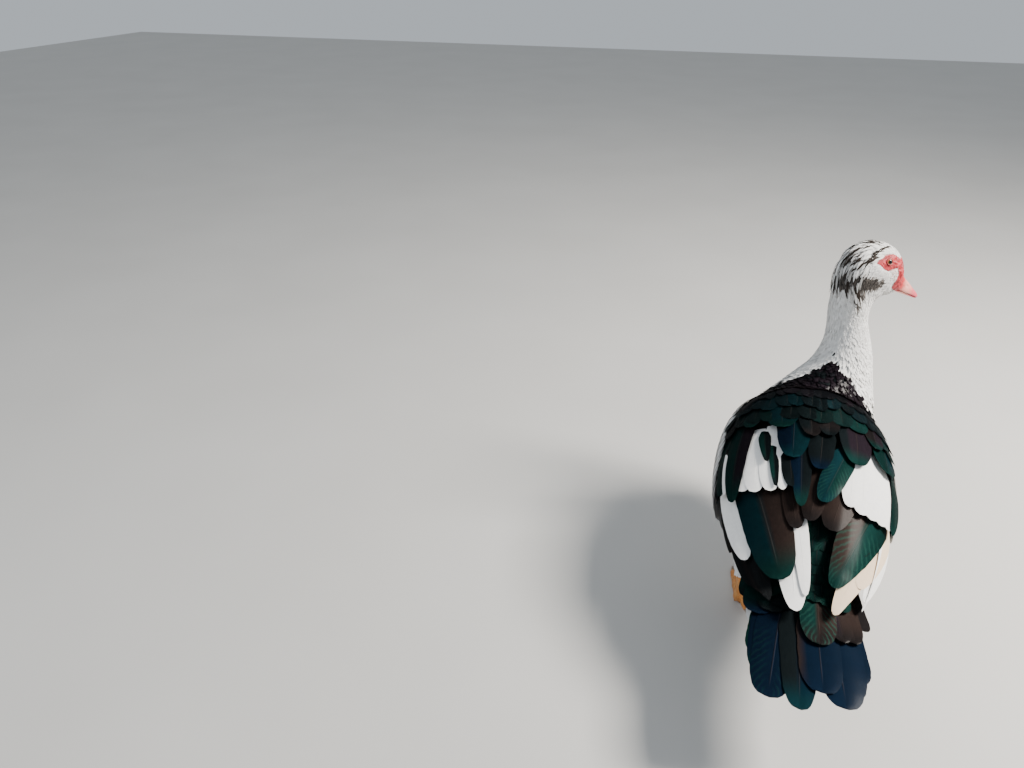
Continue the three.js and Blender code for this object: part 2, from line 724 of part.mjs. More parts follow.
[["left", (shape) => shape], ["right", mirrored]].forEach(([sideName, turned]) => {
  const settle = (shape) => turned(strode(shape, STRIDE[sideName]));
  const shank = settle(limb(SHANK, 12));
  const shankCut = solid(grown(shank));
  const thighPath = Array.from({ length: 10 }, (unused, i) => smooth(THIGH, i / 3));
  const thigh = solid(settle(limb(thighPath, 18))).subtract(solid(grown(torsoShape)));
  place(`thigh_${sideName}`, largest(thigh.subtract(shankCut)), PAINT.white);
  place(`shank_${sideName}`, shank, PAINT.orange);
  place(`foot_${sideName}`, largest(solid(settle(largest(foot()))).subtract(shankCut)), PAINT.orange);
  claws().forEach(([name, shape]) => place(`claw_${name}_${sideName}`, settle(shape), PAINT.claw));
});
place("wing_right", largest(wing(-1)), PAINT.dark);
place("wing_left", largest(wing(1)), PAINT.dark);

// The origin stands on the floor under the middle of the bird's outline.
const reach = new THREE.Box3().setFromObject(duck);
const middle = reach.getCenter(v3(0, 0, 0));
pieces.forEach((mesh) => mesh.position.set(-middle.x, -middle.y, -reach.min.z));

export default duck;
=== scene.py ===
"""A muscovy duck standing still, life size: skin, feathers, bare face, bill, eyes and feet."""

import logging
import math
from dataclasses import dataclass, field
from enum import Enum

import bpy
import numpy as np
from mathutils import Matrix, Vector


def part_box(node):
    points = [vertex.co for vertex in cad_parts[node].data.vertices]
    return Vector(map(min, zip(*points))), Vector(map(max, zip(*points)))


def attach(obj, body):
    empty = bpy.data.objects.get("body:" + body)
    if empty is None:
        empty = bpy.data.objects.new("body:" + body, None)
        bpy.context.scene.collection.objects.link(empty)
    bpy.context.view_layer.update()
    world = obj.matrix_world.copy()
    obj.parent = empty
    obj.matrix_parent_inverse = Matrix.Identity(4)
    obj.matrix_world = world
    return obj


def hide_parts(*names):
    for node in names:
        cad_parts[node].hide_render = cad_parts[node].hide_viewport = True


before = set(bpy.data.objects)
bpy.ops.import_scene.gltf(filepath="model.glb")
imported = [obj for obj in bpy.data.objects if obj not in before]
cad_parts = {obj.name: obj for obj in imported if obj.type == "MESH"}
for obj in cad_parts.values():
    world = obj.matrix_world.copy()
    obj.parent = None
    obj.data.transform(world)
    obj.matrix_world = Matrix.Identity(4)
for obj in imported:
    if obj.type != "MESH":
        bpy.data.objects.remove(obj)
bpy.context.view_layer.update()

LOG = logging.getLogger("duck")
Array = np.ndarray
MM = 0.001
UP = np.array([0.0, 0.0, 1.0])

# Body tube from the tail root to the base of the bill, in millimetres and degrees: axis x and y,
# yaw, back reach and height, front reach and height, half width, and how high the widest place is.
STATIONS = np.array([
    [0, 0, 0, 172, 188, -168, 142, 36, 0],
    [0, 0, 0, 150, 211, -142, 122, 62, -0.02],
    [0, 0, 0, 115, 237, -95, 106, 85, -0.05],
    [0, 0, 0, 70, 259, -45, 98, 100, -0.05],
    [0, 0, 0, 20, 278, 5, 93, 108, 0],
    [0, 0, 0, -35, 293, 60, 94, 109, 0.05],
    [0, 0, 0, -70, 301, 115, 104, 107, 0.1],
    [-4, 0, 0, -92, 307, 172, 126, 101, 0.12],
    [-10, -185, 0, 79, 313, 33, 158, 90, 0.12],
    [-20, -185, 0, 69, 321, 57, 200, 76, 0.1],
    [-31, -187, 3, 60, 333, 60, 244, 61, 0.05],
    [-41, -190, 7, 50, 350, 52, 284, 46, 0],
    [-44, -192, 12, 42, 371, 42, 322, 37, 0],
    [-41, -194, 20, 35, 394, 32, 356, 31.5, 0],
    [-36, -195, 30, 31, 418, 25.5, 385, 29.5, 0],
    [-36, -196, 42, 32, 443, 25.5, 408.5, 28.5, 0],
    [-38, -197, 54, 37, 466, 30, 424, 29, 0],
    [-41, -197, 61, 37, 485, 34.5, 431, 29.5, 0.05],
    [-42, -197, 63, 29.5, 504, 39.5, 433.5, 29.5, 0.1],
    [-42, -197, 64, 12, 516.5, 45.5, 434, 29, 0.12],
    [-42, -197, 64, -8.5, 519.5, 50, 435, 27, 0.1],
    [-42, -197, 64, -30.5, 514.5, 53, 436, 24.5, 0.05],
    [-42, -197, 64, -49, 500.5, 55, 437.5, 20, 0],
    [-42, -197, 64, -60, 473.5, 56.5, 441, 14, 0],
], float)

# Envelope of the folded wings: y, top height, half width, height of the widest place.
ENVELOPE = np.array([
    [-150, 296, 84, 224],
    [-100, 314, 110, 220],
    [-50, 311, 121, 214],
    [20, 296, 124, 206],
    [80, 274, 118, 197],
    [130, 249, 105, 188],
    [180, 220, 86, 181],
    [240, 190, 60, 174],
], float)

# Rump and tail seen from above: y, height on the midline, and droop to the sides for each mm squared.
TAIL_LINE = np.array([
    [40, 268, 0.0052],
    [80, 252, 0.0056],
    [115, 238, 0.0062],
    [150, 213, 0.0062],
    [172, 195, 0.005],
    [200, 181, 0.0034],
    [230, 170, 0.0016],
    [262, 162, 0.001],
    [300, 154, 0.0008],
    [350, 144, 0.0008],
], float)

# Middle line of a thigh as x, y and z, and its radius; the last line lies over the shank.
THIGH_LINE = np.array([
    [60, 0, 146, 37],
    [62, 22, 124, 31],
    [66, 44, 104, 19],
    [70, 60, 88, 10.5],
    [71, 64, 80, 9.8],
], float)

THIGH_UP = np.array([0.0, -1.0, 0.3])

# The torso's rearmost place in the bird's own frame.
TORSO_BACK = 172
FEET = [corner.x for foot in ("foot_left", "foot_right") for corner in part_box(foot)]
# What turns the bird's own frame into the row frame, in metres.
SHIFT = np.array([sum(FEET) / len(FEET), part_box("torso")[1].y - TORSO_BACK * MM, 0.0])


def in_frame(points: Array) -> Array:
    """Points in millimetres of the bird's own frame, as metres of the row frame."""
    return points * MM + SHIFT


def heading(turn: float) -> Array:
    """Level way ahead of length one, turned by degrees from the bird's front to its right."""
    return np.array([-math.sin(math.radians(turn)), -math.cos(math.radians(turn)), 0.0])


def shares(count: int) -> Array:
    """Angles of a ring's points, in radians."""
    return np.linspace(0, 2 * np.pi, count, endpoint=False)


def unit(vectors: Array) -> Array:
    """Vectors of length one."""
    return vectors / np.maximum(np.linalg.norm(vectors, axis=-1, keepdims=True), 1e-12)


def soften(value: Array) -> Array:
    """Smooth step: 3v^2 - 2v^3 of the value clipped to 0..1."""
    v = np.clip(value, 0.0, 1.0)
    return v * v * (3.0 - 2.0 * v)


def blend(a: Array, b: Array, part: Array) -> Array:
    """a and b mixed: a where part is 0 and b where it is 1."""
    return a + (b - a) * part


def smooth_rows(table: Array, rows: Array) -> Array:
    """All columns of a table at fractional rows.

    Formula: the Catmull-Rom curve through the four nearest rows, with the end rows repeated.

    Args:
        table: one line for each row.
        rows: fractional row numbers, of any shape.

    Returns:
        An array with the table's columns as its last axis.
    """
    rows = np.clip(np.asarray(rows, float), 0, len(table) - 1)
    low = np.minimum(np.floor(rows).astype(int), len(table) - 2)
    f = (rows - low)[..., None]
    a, b, c, d = (table[np.clip(low + k, 0, len(table) - 1)] for k in (-1, 0, 1, 2))
    return b + 0.5 * f * (c - a + f * (2 * a - 5 * b + 4 * c - d + f * (3 * (b - c) + d - a)))


def read_at(table: Array, values: Array) -> Array:
    """The other columns of a table, smooth, at values of its first column, as the first axis."""
    rows = np.interp(values, table[:, 0], np.arange(len(table), dtype=float))
    return np.moveaxis(smooth_rows(table, rows), -1, 0)[1:]


@dataclass(frozen=True)
class Side:
    """One side of the bird: its name, its sign along x, and how its foot is set."""

    name: str
    sign: float
    stride: float
    inwards: float = 11.0
    hip: float = 146.0
    drop: float = 114.0

    def settle(self, points: Array) -> Array:
        """Moves places of the left leg to this side's stance.

        Formula: from none at the hip to all of it by the drop lower down, the place goes back
        by the stride and inwards, and it is mirrored for the right side.

        Args:
            points: places with x, y and z as the first three of the last axis.

        Returns:
            The moved places.
        """
        moved = points.copy()
        part = np.clip((self.hip - points[..., 2]) / self.drop, 0, 1)
        moved[..., 1] += self.stride * part
        moved[..., 0] = (moved[..., 0] - self.inwards * part) * self.sign
        return moved


LEFT = Side("left", 1.0, 20.0)
RIGHT = Side("right", -1.0, -40.0)


class Lie:
    """A surface that feathers lie on, read by two parameters: along the coat and across it."""

    steps: tuple[float, float] = (0.02, 1.0)
    curve: float = 0.0
    backwards: float = 1.0

    def place(self, along: Array, across: Array) -> Array:
        """Places in millimetres at the two parameters."""
        raise NotImplementedError

    def heart(self, along: Array, across: Array) -> Array:
        """Places inside the body, which the way out points away from."""
        raise NotImplementedError

    def frames(self, along: Array, across: Array) -> tuple[Array, Array, Array]:
        """The frame of the surface.

        Formula: central differences along and across give two ways in the surface, and their
        cross product, turned away from the heart, is the way out.

        Args:
            along: the first parameter.
            across: the second parameter.

        Returns:
            The places, the ways out and the ways back along the coat.
        """
        da, db = self.steps
        at = self.place(along, across)
        way = self.place(along + da, across) - self.place(along - da, across)
        side = self.place(along, across + db) - self.place(along, across - db)
        out = unit(np.cross(way, side))
        away = np.sum(out * (at - self.heart(along, across)), axis=-1, keepdims=True)
        return at, np.where(away < 0, -out, out), unit(way) * self.backwards

    def speed(self, along: Array, across: Array) -> Array:
        """Millimetres along the coat for each unit of the first parameter."""
        way = self.place(along + self.steps[0], across) - self.place(along - self.steps[0], across)
        return np.linalg.norm(way, axis=-1) / (2 * self.steps[0])


def spread(along: Array, across: Array) -> tuple[Array, Array]:
    """Both parameters of a lie as numbers of one shape."""
    return np.broadcast_arrays(np.asarray(along, float), np.asarray(across, float))


class BodyTube(Lie):
    """Torso, neck and head, read by station row and angle from the back, left side positive."""

    backwards = -1.0
    curve = 1 / 90
    start_step = 0.05
    last_row = 23.5

    def place(self, along: Array, across: Array) -> Array:
        """Places on the tube.

        Formula: each rung joins the back point to the front point of its row, a cosine runs
        along it and a sine times the half width runs to the side. Before the first row the
        tube goes on straight.

        Args:
            along: station rows.
            across: angles in degrees from the back, to the bird's left.

        Returns:
            Places in millimetres.
        """
        along, across = spread(along, across)
        over = np.minimum(along, 0.0)[..., None]
        here = self._ring(np.maximum(along, 0.0), across)
        if np.any(over < 0):
            first = np.zeros_like(along)
            run = self._ring(first + self.start_step, across) - self._ring(first, across)
            here = here + over * run / self.start_step
        return here

    def _ring(self, along: Array, across: Array) -> Array:
        """Places on the rungs.

        Args:
            along: station rows of 0 and more.
            across: angles in degrees from the back.

        Returns:
            Places in millimetres.
        """
        columns = np.moveaxis(smooth_rows(STATIONS, along), -1, 0)
        x, y, yaw, back, back_z, front, front_z, half, high = columns
        turn, angle = np.radians(yaw), np.radians(across)
        zero = np.zeros_like(x)
        ahead = np.stack([-np.sin(turn), -np.cos(turn), zero], -1)
        side = np.stack([np.cos(turn), -np.sin(turn), zero], -1)
        top = np.stack([x, y, back_z], -1) - ahead * back[..., None]
        bottom = np.stack([x, y, front_z], -1) + ahead * front[..., None]
        wide = half * np.sin(angle) * (1 + high * np.cos(angle))
        return (top + bottom) / 2 + (top - bottom) * 0.5 * np.cos(angle)[..., None] + side * wide[..., None]

    def heart(self, along: Array, across: Array) -> Array:
        """Middle of the rung at each row."""
        zero = np.zeros_like(np.asarray(across, float))
        return (self.place(along, zero) + self.place(along, zero + 180)) / 2

    def home(self, row: Array, angle: Array) -> Array:
        """Places on the unwrap of the tube, from 0 to 1."""
        return np.stack([(angle + 180) / 360, row / self.last_row], -1)


@dataclass
class WingCase(Lie):
    """Outside of a folded wing, read by y and by angle from the middle of the back."""

    side: float = 1.0
    below: float = 20.0
    steps = (1.0, 1.0)
    curve = 1 / 115

    def place(self, along: Array, across: Array) -> Array:
        """Places on the case.

        Formula: at each y an ellipse of the table's half width and height.

        Args:
            along: y.
            across: angles in degrees from the middle of the back.

        Returns:
            Places in millimetres.
        """
        along, across = spread(along, across)
        top, half, middle = read_at(ENVELOPE, along)
        turn = np.radians(across)
        height = middle + (top - middle) * np.cos(turn)
        return np.stack([self.side * half * np.sin(turn), along, height], -1)

    def heart(self, along: Array, across: Array) -> Array:
        """The bird's middle line, under the widest place of the wing.

        Args:
            along: y.
            across: angles, which give the shape only.

        Returns:
            Places in millimetres.
        """
        along, _ = spread(along, across)
        middle = read_at(ENVELOPE, along)[2]
        return np.stack([np.zeros_like(middle), along, middle - self.below], -1)


@dataclass
class TailTop(Lie):
    """Rump and tail, read by y and x. Side +1 is the upper face and -1 the lower one."""

    side: float = 1.0
    depth: float = 0.0
    away: float = 50.0
    steps = (1.0, 1.0)
    curve = 1 / 400

    def place(self, along: Array, across: Array) -> Array:
        """Places on the rump and tail.

        Formula: the midline's height less the droop times x squared, and less the depth.

        Args:
            along: y.
            across: x.

        Returns:
            Places in millimetres.
        """
        along, across = spread(along, across)
        height, droop = read_at(TAIL_LINE, along)
        return np.stack([across, along, height - droop * across ** 2 - self.depth], -1)

    def heart(self, along: Array, across: Array) -> Array:
        """Places under the upper face, or over the lower one."""
        return self.place(along, across) - UP * (self.away * self.side)


@dataclass
class ThighTube(Lie):
    """A thigh, read by row along it and angle round it."""

    side: Side
    table: Array = field(default_factory=THIGH_LINE.copy)
    steps = (0.02, 1.0)
    curve = 1 / 60
    half_step = 0.03

    def line(self, along: Array) -> Array:
        """The middle line's x, y and z and the radius, in this side's stance."""
        return self.side.settle(smooth_rows(self.table, along))

    def place(self, along: Array, across: Array) -> Array:
        """Places on the thigh.

        Formula: circles of the table's radius, square to the middle line.

        Args:
            along: fractional rows of the table.
            across: angles in degrees.

        Returns:
            Places in millimetres.
        """
        along, across = spread(along, across)
        path = self.line(along)
        way = unit((self.line(along + self.half_step) - self.line(along - self.half_step))[..., :3])
        lift = unit(THIGH_UP - way * np.sum(way * THIGH_UP, -1, keepdims=True))
        turn = np.radians(across)[..., None]
        ring = np.cross(way, lift) * np.cos(turn) + lift * np.sin(turn)
        return path[..., :3] + ring * path[..., 3:]

    def heart(self, along: Array, across: Array) -> Array:
        """The middle line."""
        return self.line(spread(along, across)[0])[..., :3]


class Tone(Enum):
    """Colours of the plumage, linear."""

    WHITE = (0.88, 0.87, 0.85)
    CREAM = (0.78, 0.61, 0.44)
    GREY = (0.27, 0.255, 0.24)
    SOOT = (0.0085, 0.0070, 0.0070)
    BLACK = (0.0040, 0.0058, 0.0065)
    GREEN = (0.0030, 0.0160, 0.0140)
    TEAL = (0.0024, 0.0140, 0.0175)
    NAVY = (0.0020, 0.0058, 0.0135)
    BROWN = (0.0170, 0.0115, 0.0100)
    PURPLE = (0.0090, 0.0062, 0.0088)

    @property
    def rgb(self) -> Array:
        """The colour as an array."""
        return np.array(self.value)


def tones(names: list[Tone]) -> Array:
    """Colours of several tones, one line each."""
    return np.array([name.value for name in names], float)


# Meshes


def new_mesh(
    name: str, points: Array, faces: list[Array], uvs: dict[str, Array], marks: dict[str, Array],
    rim: Array | None = None,
) -> bpy.types.Object:
    """A mesh object from whole arrays, with its place in its mesh.

    Args:
        name: the piece's name.
        points: places in millimetres of the bird's own frame.
        faces: arrays of quads and of triangles, as vertex numbers.
        uvs: UV maps with one place for each vertex.
        marks: attributes with one number or one colour for each vertex.
        rim: True at vertices whose joining edges stay sharp.

    Returns:
        The object, smooth shaded, riding on the root body.
    """
    mesh = bpy.data.meshes.new(name)
    mesh.vertices.add(len(points))
    mesh.vertices.foreach_set("co", in_frame(points).astype(np.float32).ravel())
    corners = np.concatenate([group.ravel() for group in faces]).astype(np.int32)
    sizes = np.concatenate([np.full(len(group), group.shape[1]) for group in faces])
    starts = np.concatenate([[0], np.cumsum(sizes)[:-1]]).astype(np.int32)
    mesh.loops.add(len(corners))
    mesh.loops.foreach_set("vertex_index", corners)
    mesh.polygons.add(len(sizes))
    mesh.polygons.foreach_set("loop_start", starts)
    mesh.polygons.foreach_set("use_smooth", np.ones(len(sizes), bool))
    mesh.update(calc_edges=True)
    if rim is not None:
        ends = np.zeros(len(mesh.edges) * 2, np.int32)
        mesh.edges.foreach_get("vertices", ends)
        sharp = rim[ends].reshape(-1, 2).all(1)
        mesh.attributes.new("sharp_edge", "BOOLEAN", "EDGE").data.foreach_set("value", sharp)
    for key, uv in uvs.items():
        layer = mesh.uv_layers.new(name=key)
        layer.data.foreach_set("uv", uv[corners].astype(np.float32).ravel())
    for key, values in marks.items():
        if values.ndim == 2:
            layer = mesh.attributes.new(key, "FLOAT_COLOR", "POINT")
            rgba = np.concatenate([values, np.ones((len(values), 1))], 1)
            layer.data.foreach_set("color", rgba.astype(np.float32).ravel())
        else:
            layer = mesh.attributes.new(key, "FLOAT", "POINT")
            layer.data.foreach_set("value", values.astype(np.float32).ravel())
    mesh.validate()
    piece = bpy.data.objects.new(name, mesh)
    bpy.context.scene.collection.objects.link(piece)
    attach(piece, "root")
    return piece


def finish_piece(piece: bpy.types.Object, material: bpy.types.Material, slot: str, *nodes: str) -> None:
    """Dresses a piece and reports it.

    Args:
        piece: the piece.
        material: its material.
        slot: the material slot; not used.
        nodes: the CAD nodes that it stands for.
    """
    piece.data.materials.append(material)
    if nodes:
        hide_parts(*nodes)
    LOG.info("%s: %d faces", piece.name, len(piece.data.polygons))


def grid_faces(rows: int, columns: int, wrap: bool) -> Array:
    """Quads of a grid.

    Args:
        rows: rows of points.
        columns: points of a row.
        wrap: whether the last point of a row joins the first.

    Returns:
        Vertex numbers, four to a line.
    """
    a = np.arange(rows * columns).reshape(rows, columns)
    b = np.roll(a, -1, 1) if wrap else a[:, 1:]
    a = a if wrap else a[:, :-1]
    return np.stack([a[:-1], b[:-1], b[1:], a[1:]], -1).reshape(-1, 4)


@dataclass
class Solid:
    """Points, faces and marks of a closed piece, which can be joined to others."""

    points: Array
    quads: Array
    tris: Array
    uv: Array
    marks: dict[str, Array] = field(default_factory=dict)

    def faced_out(self) -> "Solid":
        """The same solid with its faces turned outwards, told by the sign of its volume.

        Returns:
            A solid whose faces look outwards.
        """
        p = self.points
        q = self.quads
        halves = np.concatenate([q[:, [0, 1, 2]], q[:, [0, 2, 3]], self.tris])
        volume = np.sum(p[halves[:, 0]] * np.cross(p[halves[:, 1]], p[halves[:, 2]]))
        if volume < 0:
            return Solid(p, q[:, ::-1], self.tris[:, ::-1], self.uv, self.marks)
        return self


def shell(grid: Array, marks: dict[str, Array] | None = None) -> Solid:
    """A closed body from rings of points, with a pole at both ends.

    Formula: neighbouring rings are joined by quads, and the mean of the first and of the last
    ring is the pole that closes that end with triangles.

    Args:
        grid: places as (rings, points of a ring, 3).
        marks: numbers or colours as (rings, points of a ring) or with a last axis of 3.

    Returns:
        The solid, faces outwards.
    """
    rows, columns = grid.shape[:2]
    count = rows * columns
    points = np.concatenate([grid.reshape(-1, 3), [grid[0].mean(0), grid[-1].mean(0)]])
    ring = np.arange(columns)
    after = np.roll(ring, -1)
    start = np.stack([after, ring, np.full(columns, count)], -1)
    base = (rows - 1) * columns
    end = np.stack([ring + base, after + base, np.full(columns, count + 1)], -1)
    u, v = np.meshgrid(np.linspace(0.02, 0.98, columns), np.linspace(0.02, 0.98, rows))
    uv = np.concatenate([np.stack([u, v], -1).reshape(-1, 2), [[0.5, 0.01], [0.5, 0.99]]])
    kept = {}
    for key, values in (marks or {}).items():
        flat = values.reshape(count, *values.shape[2:])
        kept[key] = np.concatenate([flat, [values[0].mean(0), values[-1].mean(0)]])
    return Solid(points, grid_faces(rows, columns, True), np.concatenate([start, end]), uv, kept).faced_out()


def joined(solids: list[Solid]) -> Solid:
    """Several solids as one, each with its own square of the UV map.

    Args:
        solids: the solids, with marks of the same names.

    Returns:
        The solid of all.
    """
    side = math.ceil(math.sqrt(len(solids)))
    shift = np.cumsum([0] + [len(s.points) for s in solids[:-1]])
    uvs = [(s.uv + np.array([k % side, k // side])) / side for k, s in enumerate(solids)]
    keys = solids[0].marks.keys()
    return Solid(
        np.concatenate([s.points for s in solids]),
        np.concatenate([s.quads + d for s, d in zip(solids, shift)]),
        np.concatenate([s.tris + d for s, d in zip(solids, shift)]),
        np.concatenate(uvs),
        {key: np.concatenate([s.marks[key] for s in solids]) for key in keys},
    )


def solid_piece(name: str, body: Solid, material: bpy.types.Material, slot: str, *nodes: str) -> None:
    """Makes and dresses a piece of a solid, its UV map named OFBake.

    Args:
        name: the piece's name.
        body: the solid.
        material: its material.
        slot: the name of the material slot, passed on to finish_piece.
        nodes: the CAD nodes that it stands for.
    """
    piece = new_mesh(name, body.points, [body.quads, body.tris], {"OFBake": body.uv}, body.marks)
    finish_piece(piece, material, slot, *nodes)


def sweep(path: Array, wide: Array, high: Array, sides: int, up: Array) -> Array:
    """Rings along a path.

    Formula: each ring is an ellipse square to the path, wide to the side and high along the up
    way that is left after the path's own way is taken out.

    Args:
        path: places along the middle line.
        wide: half widths at these places.
        high: half heights at these places.
        sides: points of a ring.
        up: a way that the ring's height follows.

    Returns:
        Places as (rings, points of a ring, 3).
    """
    way = unit(np.gradient(path, axis=0))
    lift = unit(up - way * np.sum(way * up, -1, keepdims=True))
    side = np.cross(way, lift)
    turn = shares(sides)
    return (path[:, None] + side[:, None] * (wide[:, None] * np.cos(turn))[..., None]
            + lift[:, None] * (high[:, None] * np.sin(turn))[..., None])


# Feathers

# Side of a small feather's patch on the UV map, and empty edge of a large one's square.
BAKE_PATCH = 0.003
ATLAS_EDGE = 0.06


@dataclass(frozen=True)
class Cut:
    """Grid and outline of a vane: shares of its length and half width, and its thickness."""

    rows: int = 5
    columns: int = 3
    base: float = 0.4
    widest: float = 0.5
    rounding: float = 0.62
    power: float = 2.0
    thick: float = 0.3
    camber: float = 0.12
    blunt: float = 0.12
    ragged: float = 0.0

    def lines(self) -> tuple[Array, Array, Array]:
        """Rows along the vane, its width there, and columns across it.

        Formula: the width grows from the base to the widest place by a smooth step and falls to
        the blunt tip on a superellipse from where the rounding begins.

        Returns:
            Shares along, widths as shares of the half width, and columns from -1 to 1.
        """
        along = 1 - (1 - np.linspace(0, 1, self.rows)) ** 1.35
        grow = self.base + (1 - self.base) * soften(along / self.widest)
        past = np.clip((along - self.rounding) / (1 - self.rounding), 0, 1)
        round_off = np.maximum(1 - past ** self.power, 0) ** (1 / self.power)
        width = grow * blend(self.blunt, 1.0, round_off)
        return along, width, np.linspace(-1, 1, self.columns)


@dataclass
class Plume:
    """Many feathers of one field: where each begins and ends on its lie, its size and colours."""

    start: Array
    end: Array
    half: Array | float
    lift_root: Array | float
    lift_tip: Array | float
    inner: Array
    outer: Array | None = None
    tip: Array | None = None
    tile: Array | float = 0.0
    rib: Array | float = 0.0
    taper: Array | float = 0.0
    seam: Array | float = 0.0
    home: Array | float = 0.0

    def __post_init__(self) -> None:
        """Fills in the colours left out and spreads single values over all feathers."""
        self.outer = self.inner if self.outer is None else self.outer
        self.tip = self.outer if self.tip is None else self.tip
        widths = {"start": 2, "end": 2, "inner": 3, "outer": 3, "tip": 3, "home": 2}
        for name, value in vars(self).items():
            shape = (len(self.start), widths[name]) if name in widths else len(self.start)
            setattr(self, name, np.broadcast_to(np.asarray(value, float), shape))

    @staticmethod
    def gather(parts: list["Plume"]) -> "Plume":
        """Several fields as one."""
        return Plume(**{name: np.concatenate([vars(p)[name] for p in parts]) for name in vars(parts[0])})

    def chosen(self, here: Array) -> "Plume":
        """The feathers that the mask names."""
        return Plume(**{name: value[here] for name, value in vars(self).items()})


def vanes(lie: Lie, feathers: Plume, cut: Cut, atlas: bool) -> Solid:
    """Closed vanes for a whole field of feathers.

    Formula: the shaft runs straight in the lie's two parameters from start to end, lifted from
    the root's to the tip's height; across it the vane goes out by its width along the surface,
    sinks by the lie's curve and the camber times that distance squared, and leans by its tile.
    The lower face is the same grid, thinner inside by the vane's thickness, and both faces
    share their rim.

    Args:
        lie: the surface that the feathers lie on.
        feathers: the field.
        cut: grid and outline of the vanes.
        atlas: whether each vane gets a square of the UV map, as large feathers do, or a patch
            of 0.003 at its root's place, as the coat's small ones do.

    Returns:
        One solid with marks tint, rib and the UV in Vane.
    """
    t, width, s = cut.lines()
    count, rows, columns = len(feathers.start), cut.rows, cut.columns
    path = blend(feathers.start[:, None, :], feathers.end[:, None, :], t[None, :, None])
    at, out, _ = lie.frames(path[..., 0], path[..., 1])
    way = unit(np.gradient(at, axis=1))
    across = unit(np.cross(out, way))
    worn = np.random.default_rng(count).uniform(-cut.ragged, cut.ragged, (count, rows))
    half = feathers.half[:, None] * width[None] * (1 + worn * (t > 0.3))
    half = half * (1 - feathers.taper[:, None] * soften((t - 0.25) / 0.75)[None])
    off = half[..., None] * s
    lift = blend(feathers.lift_root[:, None], feathers.lift_tip[:, None], t[None] ** 0.6)[..., None]
    curve = lie.curve * 0.5 * off ** 2 + cut.camber * np.abs(s) ** 2 * half[..., None]
    rise = lift - curve + feathers.tile[:, None, None] * s
    top = at[:, :, None] + across[:, :, None] * off[..., None] + out[:, :, None] * rise[..., None]
    low = top[:, 1:-1, 1:-1] - out[:, 1:-1, None] * (cut.thick * (1.15 - t[1:-1]))[None, :, None, None]
    per = rows * columns + (rows - 2) * (columns - 2)
    points = np.concatenate([top.reshape(count, -1, 3), low.reshape(count, -1, 3)], 1)
    upper = grid_faces(rows, columns, False)
    under = np.arange(rows * columns).reshape(rows, columns)
    under[1:-1, 1:-1] = rows * columns + np.arange((rows - 2) * (columns - 2)).reshape(rows - 2, columns - 2)
    lower = under.ravel()[upper][:, ::-1]
    first = top[0].reshape(-1, 3)[upper[0]]
    if np.dot(np.cross(first[1] - first[0], first[3] - first[0]), out[0, 0]) < 0:
        upper, lower = upper[:, ::-1], lower[:, ::-1]
    faces = np.concatenate([upper, lower])
    quads = (faces[None] + (np.arange(count) * per)[:, None, None]).reshape(-1, 4)
    u, v = np.meshgrid(s, t)
    u = np.concatenate([u.ravel(), u[1:-1, 1:-1].ravel()])
    v = np.concatenate([v.ravel(), v[1:-1, 1:-1].ravel()])
    own = np.stack([u * 0.5 + 0.5, v], -1)
    if atlas:
        side = math.ceil(math.sqrt(count))
        cell = np.stack([np.arange(count) % side, np.arange(count) // side], -1)
        local = ATLAS_EDGE + (1 - 2 * ATLAS_EDGE) * own
        bake = (cell[:, None] + local[None]) / side
    else:
        bake = feathers.home[:, None] * 0.99 + 0.005 + (own - 0.5)[None] * BAKE_PATCH
    turn = soften((u[None] - feathers.seam[:, None]) * 5 + 0.5)[..., None]
    tint = blend(feathers.inner[:, None], feathers.outer[:, None], turn)
    tint = blend(tint, feathers.tip[:, None], soften((v - 0.72) / 0.25)[None, :, None])
    rim = np.ones((rows, columns), bool)
    rim[1:-1, 1:-1] = False
    rim = np.concatenate([rim.ravel(), np.zeros(per - rows * columns, bool)])
    marks = {
        "tint": tint.reshape(-1, 3),
        "rib": np.repeat(feathers.rib, per),
        "rim": np.tile(rim, count),
    }
    return Solid(points.reshape(-1, 3), quads, np.zeros((0, 3), int), bake.reshape(-1, 2),
                 marks | {"vane": np.tile(own, (count, 1))})


def feather_piece(
    name: str, lie: Lie, feathers: Plume, cut: Cut, finish: "Finish", slot: str, *nodes: str,
    atlas: bool = False,
) -> None:
    """Makes and dresses a piece of feathers, with UV maps OFBake and Vane.

    Args:
        name: the piece's name.
        lie: the surface that the feathers lie on.
        feathers: the field.
        cut: grid and outline of the vanes.
        finish: the plumage finish.
        slot: the name of the material slot, passed on to finish_piece.
        nodes: the CAD nodes that it stands for.
        atlas: whether each vane gets a square of the UV map, as large feathers do.
    """
    body = vanes(lie, feathers, cut, atlas)
    maps = {"OFBake": body.uv, "Vane": body.marks.pop("vane")}
    rim = body.marks.pop("rim")
    piece = new_mesh(name, body.points, [body.quads], maps, body.marks, rim)
    finish_piece(piece, finish.value.material(), slot, *nodes)


# Shaders


